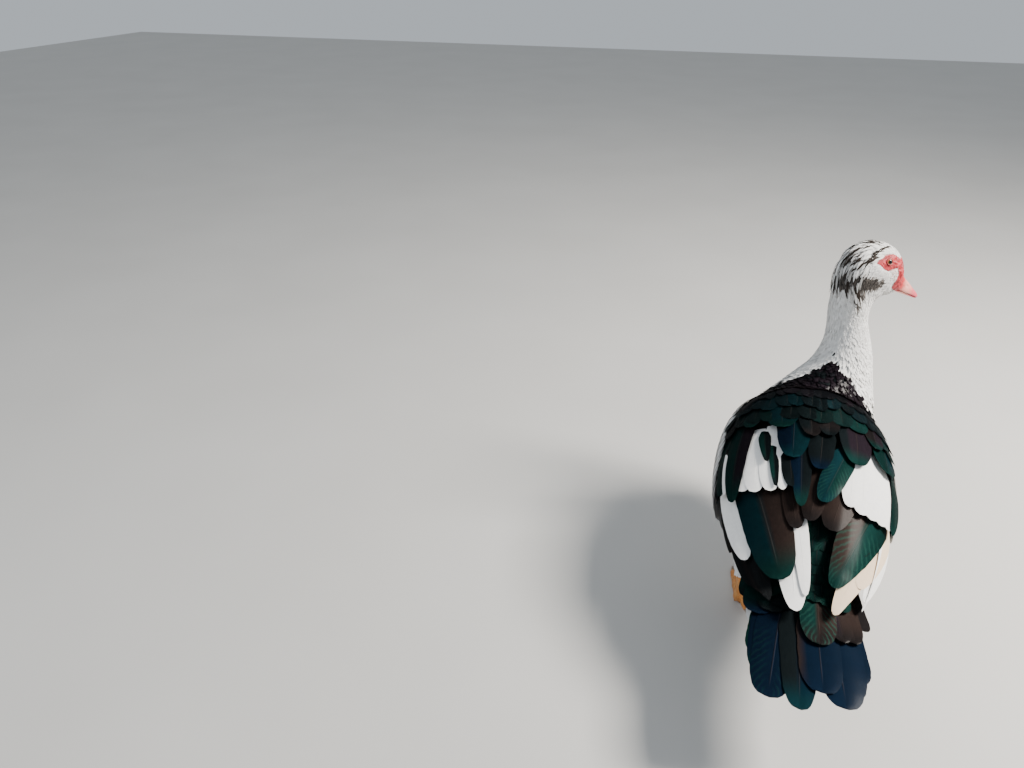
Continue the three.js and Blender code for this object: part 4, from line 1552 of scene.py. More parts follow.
@dataclass
class Crest:
    """Longer pointed feathers of the crown and nape, swept back and a little raised."""

    tube: BodyTube
    count: int = 190
    half: float = 1.9
    # Narrow feathers that draw a streak: how many for each row of its run, length and half width.
    streak: tuple[int, float, float] = (26, 6.5, 0.62)

    def streaks(self, rng: np.random.Generator) -> Plume:
        """Narrow dark feathers along the streaks of the crown.

        Formula: each streak gets feathers in step with its run in rows, and each feather
        points along the streak.

        Args:
            rng: the draw that the crest uses.

        Returns:
            The field.
        """
        number, length, half = self.streak
        starts, ends = [], []
        for row_a, angle_a, row_b, angle_b, _ in HEAD_STREAKS:
            count = int(number * (row_a - row_b)) + 1
            part = (np.arange(count) + rng.uniform(-0.3, 0.3, count)) / count
            row = blend(row_a, row_b, part)
            angle = blend(angle_a, angle_b, part) + rng.uniform(-0.9, 0.9, count)
            run = length * rng.uniform(0.7, 1.2, count) / self.tube.speed(row, angle)
            slope = (angle_b - angle_a) / (row_a - row_b)
            starts.append(np.stack([row, angle], -1))
            ends.append(np.stack([row - run, angle + slope * run * 0.8], -1))
        start, end = np.concatenate(starts), np.concatenate(ends)
        keep = np.maximum(bare_face(*start.T), bare_face(*end.T)) < 0.5
        start, end = start[keep], end[keep]
        n = len(start)
        shade = np.array((0.035, 0.028, 0.024)) * rng.uniform(0.6, 2.6, (n, 1))
        return Plume(start, end, half * rng.uniform(0.7, 1.3, n), -0.2, rng.uniform(1.0, 1.9, n), shade,
                     home=self.tube.home(*start.T))

    def build(self) -> None:
        """The crest.

        Formula: roots drawn over the crown and nape from a seed, each feather running back
        along the tube and rising towards its tip.
        """
        rng = np.random.default_rng(21)
        row = rng.uniform(15.6, 20.2, self.count)
        angle = rng.uniform(-62, 62, self.count)
        length = np.interp(row, [15.6, 17.5, 20.2], [19, 20, 12]) * rng.uniform(0.8, 1.2, self.count)
        sway = rng.uniform(-5, 5, self.count)
        keep = bare_face(row - 0.4, angle) < 0.5
        row, angle, length, sway = row[keep], angle[keep], length[keep], sway[keep]
        run = length / self.tube.speed(row, angle)
        n = len(row)
        dark = soften(head_dark(row - SHOWN * run, angle) * 1.5 - rng.uniform(0.0, 1.1, n))
        white = Tone.WHITE.rgb * rng.uniform(0.9, 1.05, (n, 1))
        tint = blend(white, np.array((0.045, 0.036, 0.031)), dark[:, None])
        lift = np.interp(row, [15.6, 17.0, 20.2], [3.6, 3.4, 1.2]) * rng.uniform(0.5, 1.35, n)
        crest = Plume(np.stack([row, angle], -1), np.stack([row - run, angle + sway], -1), self.half, -0.6,
                      lift, tint, home=self.tube.home(row, angle))
        feather_piece("crest", self.tube, Plume.gather([crest, self.streaks(rng)]),
                      Cut(6, 3, 0.4, 0.4, 0.3, 1.3, 0.3, 0.2), Finish.WHITE_SMALL, "plumage_white")


@dataclass
class ThighCoat:
    """Small white feathers of one thigh, down to a ragged cuff over the shank."""

    side: Side
    rings: int = 20
    reach: tuple[float, float] = (0.35, 3.3)
    last_end: float = 3.98
    # Half width, length and lift of the feathers at the first, the third and the last ring's row.
    rows: tuple[float, ...] = (0, 2, 3.4)
    halves: tuple[float, ...] = (5.4, 3.6, 2.3)
    lengths: tuple[float, ...] = (19, 15, 9)
    lifts: tuple[float, ...] = (3.4, 2.6, 1.5)

    def build(self) -> None:
        """The feathers.

        Formula: rings at even steps along the thigh, each with as many feathers as its
        circumference takes and every second one turned by half a feather.
        """
        tube = ThighTube(self.side)
        rng = np.random.default_rng(51 if self.side is LEFT else 52)
        rows, angles = [], []
        for k, row in enumerate(np.linspace(*self.reach, self.rings)):
            half = np.interp(row, self.rows, self.halves)
            count = int(2 * np.pi * tube.line(np.array(row))[3] / (half * 1.25))
            rows.append(np.full(count, row) + rng.uniform(-0.05, 0.05, count))
            angles.append((np.arange(count) + 0.5 * (k % 2) + rng.uniform(-0.2, 0.2, count)) * 360 / count)
        row, angle = np.concatenate(rows), np.concatenate(angles)
        n = len(row)
        half = np.interp(row, self.rows, self.halves) * rng.uniform(0.85, 1.15, n)
        length = np.interp(row, self.rows, self.lengths) * rng.uniform(0.85, 1.15, n)
        end = np.minimum(row + length / tube.speed(row, angle), self.last_end)
        white = Tone.WHITE.rgb * rng.uniform(0.92, 1.04, (n, 1))
        lift = np.interp(row, self.rows, self.lifts) * rng.uniform(0.6, 1.2, n)
        feathers = Plume(np.stack([row, angle], -1), np.stack([end, angle + rng.uniform(-4, 4, n)], -1), half,
                         -0.6, lift, white, home=np.stack([np.mod(angle, 360) / 360, row / 4], -1))
        feather_piece(f"thigh_feathers_{self.side.name}", tube, feathers, Cut(5, 3, 0.5, 0.45, 0.3, 1.5),
                      Finish.WHITE_SMALL, "plumage_white")


# Wings


@dataclass(frozen=True)
class Quill:
    """One large feather: root and tip on its lie, half width, lift at the tip and colours."""

    root: tuple[float, float]
    tip: tuple[float, float]
    half: float
    lift: float
    inner: Tone
    outer: Tone
    end: Tone
    rib: float = 0.0
    taper: float = 0.0
    seam: float = 0.0


def quills(rows: list[Quill], side: float, depth: float) -> Plume:
    """A field from single feathers.

    Args:
        rows: the feathers, from the lowest to the highest.
        side: 1 where the inner side of a vane lies at the grid's right, or else -1.
        depth: how far the roots lie under the tips' lifts, in millimetres.

    Returns:
        The field.
    """
    start, end, half, lift, inner, outer, tip, rib, taper, seam = (
        np.array([q.rgb if isinstance(q, Tone) else q for q in column])
        for column in zip(*(vars(row).values() for row in rows)))
    if side > 0:
        inner, outer = outer, inner
    return Plume(start, end, half, lift - depth, lift, inner, outer, tip, -0.5 * side, rib, taper, -seam * side)


W, C, G, S, K = Tone.WHITE, Tone.CREAM, Tone.GREEN, Tone.SOOT, Tone.BLACK
T, N, B, P = Tone.TEAL, Tone.NAVY, Tone.BROWN, Tone.PURPLE

# Large feathers that show on the left wing, from the lowest to the highest.
LEFT_QUILLS = [
    Quill((84, 13), (217, -1), 12, -3.4, W, W, W, taper=0.3),
    Quill((88, 19), (236, 8.5), 25, -4.4, W, W, W, taper=0.35),
    Quill((56, 15), (143, 9.5), 14, -1.0, B, B, S),
    Quill((20, 72), (177, 58), 20, -3.6, W, W, W, taper=0.2),
    Quill((44, 43), (204, 23), 33, 0.2, B, T, G, taper=0.12),
    Quill((-20, 50), (91, 47), 17, 2.2, W, W, W),
    Quill((-20, 38), (96, 38), 17, 2.6, W, W, W),
    Quill((-20, 27), (97, 27), 16, 3.0, W, W, W),
    Quill((-20, 18), (96, 19), 10, 3.4, W, W, W),
    Quill((-10, 33), (54, 29), 9, 4.9, K, G, K, taper=0.4),
    Quill((14, 26), (92, 23), 7, 5.2, K, G, K, taper=0.3),
    Quill((-66, 64), (80, 71), 13, 3.0, K, G, G),
    Quill((-30, 63), (84, 65.5), 6, 3.9, W, W, W, taper=0.3),
    Quill((-76, 46), (102, 57.5), 19, 5.0, P, G, G, taper=0.25),
    Quill((10, 16), (92, 13), 12, 4.6, K, K, K),
    Quill((0, 8), (117, 7), 15, 5.4, K, N, G, taper=0.3),
    Quill((-46, 13), (50, 13), 24, 6.6, T, N, T, taper=0.2),
    Quill((-86, 23), (-2, 20), 25, 7.4, T, T, G, taper=0.1),
    Quill((-70, 40), (-14, 42), 17, 7.0, P, G, G, taper=0.2),
    Quill((-60, 4), (12, 2), 18, 7.4, S, K, S, taper=0.2),
]
# Large feathers that show on the right wing.
RIGHT_QUILLS = [
    Quill((60, 80), (203, 92), 27, -4.0, W, W, W, taper=0.5),
    Quill((60, 72), (196, 72), 28, -3.4, W, W, W, taper=0.6),
    Quill((60, 72), (188, 52), 24, -2.6, C, C, C, taper=0.45),
    Quill((66, 60), (230, 35), 27, -2.0, C, C, C, taper=0.6),
    Quill((56, 53), (150, 44), 20, -2.2, S, S, S, taper=0.5),
    Quill((60, 51), (201, 25), 34, 0.6, B, G, G, 0.9, taper=0.5, seam=-0.1),
    Quill((40, 7), (132, -1), 15, 1.2, B, B, S),
    Quill((44, 24), (138, 14), 24, 2.0, B, B, S, taper=0.2),
    Quill((-10, 60), (98, 60), 16, 2.0, W, W, W),
    Quill((-10, 50), (102, 51), 17, 2.5, W, W, W),
    Quill((-10, 41), (104, 42), 17, 3.0, W, W, W),
    Quill((-10, 33), (105, 33), 17, 3.5, W, W, W),
    Quill((0, 25), (102, 24), 14, 4.0, W, W, W),
    Quill((-40, 72), (100, 65), 14, 4.4, G, G, G, taper=0.3),
    Quill((10, 22), (107, 6), 18, 6.0, T, G, T, 1.0, taper=0.15),
    Quill((-20, 5), (63, 3), 19, 6.2, K, K, N, taper=0.2),
    Quill((-62, 54), (20, 51), 27, 6.0, G, T, G, taper=0.15),
    Quill((-66, 26), (40, 26), 26, 7.2, K, P, G, taper=0.2, seam=-0.5),
    Quill((-76, 40), (-8, 41), 19, 7.6, S, P, G, taper=0.2),
    Quill((-66, 8), (6, 8), 18, 7.6, S, S, K, taper=0.2),
]


@dataclass(frozen=True)
class Tier:
    """A row of like feathers from the wing's lower edge up: roots, tips, sizes and lifts."""

    count: int
    root_y: tuple[float, float]
    root: tuple[float, float]
    tip_y: tuple[float, float]
    tip: tuple[float, float]
    half: tuple[float, float]
    lift: float
    tone: Tone
    edge: Tone
    stray: float = 2.5
    sides: tuple[Side, ...] = (LEFT, RIGHT)


TIERS = (
    Tier(9, (70, 40), (92, 62), (196, 226), (78, 40), (11, 13), -10.5, S, K, sides=(LEFT,)),
    Tier(10, (20, 0), (100, 56), (146, 172), (97, 58), (14, 15), -7.5, S, S, sides=(LEFT,)),
    Tier(10, (20, 0), (100, 56), (146, 168), (97, 58), (14, 15), -7.5, W, C, sides=(RIGHT,)),
    Tier(10, (-30, -40), (100, 52), (56, 70), (98, 54), (12, 14), -3.6, K, G, 5.0),
    Tier(13, (-66, -70), (102, 50), (0, 8), (100, 52), (10, 13), -0.6, K, G, 6.0),
    Tier(14, (-90, -92), (100, 52), (-36, -32), (99, 52), (9, 12), 1.4, K, G, 6.0),
    Tier(15, (-110, -110), (98, 50), (-66, -60), (98, 50), (8, 11), 1.8, K, G, 6.0),
    Tier(16, (-126, -126), (96, 48), (-92, -86), (96, 48), (7, 9), 1.6, S, K, 5.0),
    Tier(6, (-78, -78), (62, 4), (-22, -20), (62, 4), (16, 19), 6.0, G, K, 6.0),
    Tier(8, (-100, -100), (66, 2), (-48, -44), (66, 2), (12, 16), 6.0, T, K, 8.0),
    Tier(10, (-118, -118), (64, 4), (-76, -72), (64, 4), (10, 12), 5.0, K, P, 7.0),
    Tier(13, (-132, -132), (62, 3), (-100, -98), (62, 3), (7, 9), 4.0, S, P, 5.0),
)
# Where the white side feathers begin over the wing: y and angle, left and right.
FLANK_EDGES = {
    LEFT: np.array([[-150, 58], [-102, 62], [-94, 61], [-59, 69], [-9, 75], [26, 87], [40, 93], [80, 106]]),
    RIGHT: np.array([[-150, 66], [-102, 74], [-59, 84], [-9, 88], [26, 92], [80, 106]]),
}


@dataclass
class Wing:
    """A folded wing: its closed core, tiers of feathers, and the large ones that show."""

    side: Side
    quills: list[Quill]
    reach: tuple[float, float] = (-120.0, 150.0)
    arc: tuple[float, float] = (8.0, 104.0)
    core_grid: tuple[int, int] = (44, 30)
    # Depths of the core: upper face in its middle, upper face at its rim, lower face.
    core_depths: tuple[float, float, float] = (11.0, 20.0, 22.0)
    flank_rows: int = 20
    flank_columns: int = 8
    flank_run: float = 28.0

    def __post_init__(self) -> None:
        """Makes the surface that the feathers lie on."""
        self.case = WingCase(self.side.sign)

    def core(self) -> Solid:
        """Closed core under the feathers.

        Formula: the case, sunk by the depths, the upper face deeper towards its rim.

        Returns:
            The solid, dark.
        """
        along, across = self.core_grid
        y, angle = np.meshgrid(np.linspace(*self.reach, along), np.linspace(*self.arc, across), indexing="ij")
        at, out, _ = self.case.frames(y, angle)
        rim_y, rim_angle = (np.sin(np.linspace(0, np.pi, count)) ** 0.3 for count in self.core_grid)
        middle, edge, low = self.core_depths
        upper = at - out * (edge - (edge - middle) * rim_y[:, None] * rim_angle)[..., None]
        return plain(np.concatenate([upper, (at - out * low)[:, ::-1]], 1), Tone.SOOT)

    def tiers(self) -> Plume:
        """All tiers as one field.

        Formula: in each tier the feathers stand at even steps between its two ends, and
        places, sizes and shades are a little drawn from a seed.

        Returns:
            The field.
        """
        rng = np.random.default_rng(31 if self.side is LEFT else 32)
        parts = []
        for tier in TIERS:
            if self.side not in tier.sides:
                continue
            n, stray = tier.count, tier.stray
            f = np.linspace(0, 1, n)
            root_y = blend(*tier.root_y, f) + rng.uniform(-stray, stray, n)
            tip_y = blend(*tier.tip_y, f) + rng.uniform(-stray, stray, n)
            tip = blend(*tier.tip, f) + rng.uniform(-stray / 3, stray / 3, n)
            shade = blend(tier.tone.rgb, tier.edge.rgb, rng.uniform(0, 1, (n, 1)))
            shade = shade * rng.uniform(0.85, 1.15, (n, 1))
            lift = tier.lift + 0.9 * f
            half = blend(*tier.half, f) * (1 + rng.uniform(-stray / 30, stray / 30, n))
            parts.append(Plume(np.stack([root_y, blend(*tier.root, f)], -1), np.stack([tip_y, tip], -1), half,
                               lift - 8, lift, shade, tile=-0.35 * self.side.sign, taper=0.15))
        return Plume.gather(parts)

    def flank(self) -> Plume:
        """White side feathers of the breast, lying over the wing's lower front edge.

        Formula: staggered rows under the edge of the white, each feather running back beside
        that edge.

        Returns:
            The field.
        """
        rng = np.random.default_rng(33)
        edge = FLANK_EDGES[self.side]
        column = np.arange(self.flank_columns)
        y, k = np.meshgrid(np.linspace(-142, 34, self.flank_rows), column.astype(float), indexing="ij")
        y = (y + np.where(column % 2, 4.6, 0.0) + rng.uniform(-1.5, 1.5, y.shape)).ravel()
        step = 6.5 * (k.ravel() + 0.4) + rng.uniform(-0.8, 0.8, y.size)
        start, end = (np.stack([at, np.interp(at, edge[:, 0], edge[:, 1]) + step], -1)
                      for at in (y, y + self.flank_run))
        white = Tone.WHITE.rgb * rng.uniform(0.95, 1.03, (y.size, 1))
        lift = np.interp(y, [-142, -60, 34], [7.0, 5.6, 2.2])
        home = np.stack([start[:, 1] / 200, (y + 150) / 200], -1)
        return Plume(start, end, 9.0, lift - 5.0, lift + rng.uniform(-0.3, 0.3, y.size), white, taper=0.3,
                     home=home)

    def build(self) -> None:
        """The core, the tiers, the large feathers and the side feathers."""
        name, case, large = self.side.name, self.case, Finish.LARGE
        solid_piece(f"wing_core_{name}", self.core(), SkinFinish("wing_skin").material(), "plumage_dark",
                    f"wing_{name}")
        feather_piece(f"wing_tiers_{name}", case, self.tiers(),
                      Cut(13, 7, 0.5, 0.3, 0.6, 2.1, 0.5, 0.03, 0.1, 0.02), large, "plumage_dark", atlas=True)
        feather_piece(f"wing_quills_{name}", case, quills(self.quills, self.side.sign, 9.0),
                      Cut(20, 11, 0.55, 0.3, 0.62, 2.1, 0.5, 0.03, 0.1, 0.018), large, "plumage_dark",
                      atlas=True)
        feather_piece(f"side_feathers_{name}", case, self.flank(), Cut(7, 5, 0.5, 0.4, 0.5, 2.0, 0.4, 0.08),
                      Finish.WHITE_SMALL, "plumage_white")


# Tail


TAIL_QUILLS = [
    Quill((200, 38), (288, 48), 18, -0.6, N, G, G),
    Quill((200, -50), (296, -66), 20, -0.2, N, N, N),
    Quill((198, 34), (312, 42), 22, 0.6, N, N, G, taper=0.1),
    Quill((198, -44), (318, -58), 22, 1.0, N, K, N),
    Quill((196, 22), (339, 34), 27, 2.0, N, N, N, 0.3, taper=0.1),
    Quill((196, -34), (331, -52), 25, 2.4, N, N, N),
    Quill((194, 4), (347, -1), 23, 3.4, N, K, T, taper=0.2),
    Quill((194, -16), (321, -26), 25, 5.0, N, B, N, seam=0.8),
    Quill((128, 52), (208, 62), 18, 1.0, K, G, K),
    Quill((140, 42), (232, 52), 21, 2.4, K, G, N),
    Quill((150, 28), (228, 36), 20, 3.8, K, G, K),
    Quill((150, 12), (222, 24), 20, 5.2, K, K, K),
    Quill((150, -52), (222, -74), 17, 2.6, S, S, S),
    Quill((150, -38), (246, -64), 18, 4.4, B, B, S, taper=0.2),
    Quill((150, -28), (250, -50), 17, 6.0, B, P, S, taper=0.2),
    Quill((140, -12), (262, -22), 22, 8.0, B, G, S, 1.0, seam=0.1),
]


@dataclass
class Tail:
    """Rump, tail coverts and tail feathers, above and below."""

    top: TailTop
    under: TailTop
    # Rump: rows and columns, and the ends of both.
    rump_grid: tuple[int, int] = (11, 6)
    rump_y: tuple[float, float] = (50.0, 172.0)
    rump_x: tuple[float, float] = (-44.0, 36.0)
    # Under-tail rows: y of the roots, length and half width of the row.
    below_rows: tuple[tuple[float, ...], ...] = ((150, 78, 40), (172, 80, 42), (192, 76, 40))
    below_count: int = 7

    def rump(self) -> Plume:
        """Rounded dark feathers between the wings.

        Formula: staggered rows, a little drawn from a seed, that lie higher towards the tail.

        Returns:
            The field.
        """
        rng = np.random.default_rng(41)
        rows, columns = self.rump_grid
        y, x = np.meshgrid(np.linspace(*self.rump_y, rows), np.linspace(*self.rump_x, columns), indexing="ij")
        x = (x + np.where(np.arange(rows) % 2, 6.0, 0.0)[:, None]).ravel()
        y = y.ravel() + rng.uniform(-2, 2, x.size)
        end = np.stack([y + 38, x * 1.02 + rng.uniform(-2, 2, x.size)], -1)
        shade = blend(Tone.GREEN.rgb, Tone.TEAL.rgb, rng.uniform(0, 0.3, (x.size, 1))) * 0.62
        lift = np.interp(y, [50, 120, 172], [4.5, 7.4, 10.4]) + rng.uniform(-0.4, 0.4, x.size)
        return Plume(np.stack([y, x], -1), end, 13.0, lift - 8.5, lift, shade, tip=shade * 0.6, rib=1.0,
                     home=np.stack([x / 120 + 0.5, (y - 40) / 150], -1))

    def below(self) -> Plume:
        """White under-tail coverts, in rows that shorten to the sides.

        Returns:
            The field.
        """
        rng = np.random.default_rng(42)
        parts = []
        for k, (y, reach, wide) in enumerate(self.below_rows):
            x = np.linspace(-wide, wide, self.below_count) + 4 * (k % 2)
            y = np.full(len(x), float(y))
            end = np.stack([y + reach - 0.35 * np.abs(x), x * 1.15], -1)
            white = Tone.WHITE.rgb * rng.uniform(0.88, 1.02, (len(x), 1))
            parts.append(Plume(np.stack([y, x], -1), end, 14.0, -3.0, 3.0 - 1.6 * k + 0.3 * np.abs(x / 20),
                               white, home=np.stack([x / 120 + 0.5, (y - 140) / 60], -1)))
        return Plume.gather(parts)

    def build(self) -> None:
        """The tail feathers, the rump and the under-tail coverts."""
        feather_piece("tail_quills", self.top, quills(TAIL_QUILLS, 1.0, 5.0),
                      Cut(20, 11, 0.5, 0.35, 0.72, 2.2, 0.5, 0.03, 0.1, 0.018), Finish.LARGE, "plumage_dark",
                      "tail", atlas=True)
        feather_piece("rump_feathers", self.top, self.rump(), Cut(9, 7, 0.5, 0.35, 0.55, 2.2, 0.4, 0.06),
                      Finish.DARK_SMALL, "plumage_dark")
        feather_piece("under_tail", self.under, self.below(), Cut(9, 5, 0.5, 0.35, 0.6, 2.0, 0.4, 0.06),
                      Finish.WHITE_SMALL, "plumage_white")


# Head


@dataclass
class Bill:
    """Upper and lower bill with nostrils, nail and the line of the mouth."""

    pitch: float = 23.0
    # Along the bill, half width, top, line of the mouth.
    table: tuple[tuple[float, ...], ...] = (
        (-7, 11, 11, -11.6), (2, 12, 10, -12), (12, 11.6, 5.8, -12.2), (23, 10.6, 1.8, -12.3),
        (32, 10.2, -2.2, -12.3), (40.5, 9.8, -5.8, -12.3), (46, 7.2, -8.6, -12.4), (49, 2.8, -11, -12.7))
    rows: int = 70
    sides: int = 56
    low_depth: float = 4.6
    reach: float = 49.0
    nostril: tuple[float, float] = (17.0, -2.6)
    nail: float = 45.0

    def base(self) -> tuple[Array, Array, Array, Array]:
        """The bill's own frame, at the last station of the body tube.

        Returns:
            Middle of its base, and the ways along, to the side and up.
        """
        x, y, yaw, back, back_z, front, front_z, _, _ = STATIONS[-1]
        ahead, fall = heading(yaw), math.radians(self.pitch)
        side = heading(yaw - 90)
        at = np.array([x, y, (back_z + front_z) / 2]) + ahead * (front - back) / 2
        along = ahead * math.cos(fall) - UP * math.sin(fall)
        up = np.cross(side, along)
        return at, along, side, up * np.sign(up[2])

    def rings(self, lower: bool) -> tuple[Array, Array]:
        """Rings of the upper or the lower half.

        Formula: a superellipse between the line of the mouth and the top, its side edge drawn
        out as a thin lip, with a dent at each nostril and a raised nail at the tip.

        Args:
            lower: whether the lower half is made.

        Returns:
            Places as rings, and the share along the bill.
        """
        last = 6.6 if lower else 7
        lines = smooth_rows(np.array(self.table), np.linspace(0, last, self.rows))
        along, half, top, mouth = np.moveaxis(lines, -1, 0)[..., None]
        turn = shares(self.sides)
        cosine, sine = np.cos(turn), np.sin(turn)
        reach = np.clip(along / self.reach, 0, 1)
        if lower:
            depth = self.low_depth * (1 - 0.45 * reach)
            out = half * 0.94 * sine
            height = mouth - 1.1 + np.where(cosine > 0, 0.2 * cosine, depth * cosine)
        else:
            out = half * np.sign(sine) * np.abs(sine) ** 0.9
            dome = (top - mouth) * np.maximum(cosine, 0) ** 0.85
            height = mouth + np.where(cosine > 0, dome, 0.9 * cosine)
            lip = np.exp(-((cosine - 0.12) / 0.12) ** 2) * np.abs(sine)
            out = out + np.sign(sine) * 0.35 * lip
            at_along, at_up = self.nostril
            far = ((along - at_along) / 4.2) ** 2 + ((height - at_up) / 2.2) ** 2
            dent = np.exp(-far * 1.6) * (np.abs(out) > 3)
            out = out - np.sign(out) * 1.8 * dent
            nail = np.exp(-((along - self.nail) / 4.0) ** 2 - (out / 4.0) ** 2) * (cosine > 0)
            height = height + 0.8 * nail
        at, ahead, side, up = self.base()
        grid = at + ahead * along[..., None] + side * out[..., None] + up * height[..., None]
        return grid, np.broadcast_to(reach, out.shape)

    def build(self) -> None:
        """Both halves of the bill."""
        for name, lower in (("bill_upper", False), ("bill_lower", True)):
            grid, reach = self.rings(lower)
            horn = BillFinish(f"{name}_finish").material()
            solid_piece(f"{name}_horn", shell(grid, {"reach": reach}), horn, "bill", name)


@dataclass
class Eye:
    """An eyeball with its lids, on one side of the head."""

    tube: BodyTube
    side: Side
    radius: float = 5.6
    sink: float = 3.1
    lid: float = 4.7
    lid_seat: float = 3.2
    lid_squeeze: tuple[float, float] = (1.06, 0.86)
    ball_grid: tuple[int, int] = (30, 36)
    lid_grid: tuple[int, int] = (48, 12)

    def __post_init__(self) -> None:
        """Reads where the eye sits: its middle, and the ways out, back and up."""
        at, self.out, self.back = (
            v[0] for v in self.tube.frames(np.array([EYE_ROW]), np.array([self.side.sign * EYE_ANGLE])))
        self.middle = at - self.out * self.sink
        up = np.cross(self.back, self.out)
        self.up = unit(up) * np.sign(up[2])

    def ball(self) -> Solid:
        """The eyeball: rings round its gaze, marked with the cosine of their angle from it.

        Returns:
            The solid.
        """
        rings, sides = self.ball_grid
        polar = np.linspace(0.06, math.pi - 0.06, rings)[:, None, None]
        turn = shares(sides)[:, None]
        ring = np.sin(polar) * (self.back * np.cos(turn) + self.up * np.sin(turn))
        grid = self.middle + self.radius * (ring + np.cos(polar) * self.out)
        return shell(grid, {"gaze": np.broadcast_to(np.cos(polar)[..., 0], grid.shape[:2])})

    def lids(self) -> Solid:
        """The lids: a closed tube round the opening, squeezed in height, thinner at its corners.

        Returns:
            The solid.
        """
        around, across = self.lid_grid
        turn = shares(around)[:, None]
        wide, high = self.lid_squeeze
        seat = self.middle + self.out * self.lid_seat
        path = seat + self.lid * (self.back * np.cos(turn) * wide + self.up * np.sin(turn) * high)
        path = path + self.out * (0.5 - 0.9 * np.cos(turn) ** 2)
        thick = 0.95 + 0.25 * np.sin(turn)
        ring = shares(across)
        points = (path[:, None] + unit(path - seat)[:, None] * (thick * np.cos(ring))[..., None]
                  + self.out * (thick * np.sin(ring))[..., None])
        quads = grid_faces(around + 1, across, True) % (around * across)
        uv = np.stack(np.meshgrid(np.linspace(0, 1, across), np.linspace(0, 1, around)), -1)
        return Solid(points.reshape(-1, 3), quads, np.zeros((0, 3), int), uv.reshape(-1, 2)).faced_out()

    def build(self) -> None:
        """The eyeball and its lids."""
        name = self.side.name
        wet = EyeFinish(f"eye_{name}_finish").material()
        solid_piece(f"eyeball_{name}", self.ball(), wet, "eye", f"eye_{name}")
        red = RedSkinFinish(f"lids_{name}_finish").material()
        solid_piece(f"lids_{name}", self.lids(), red, "bare_face")


# Legs


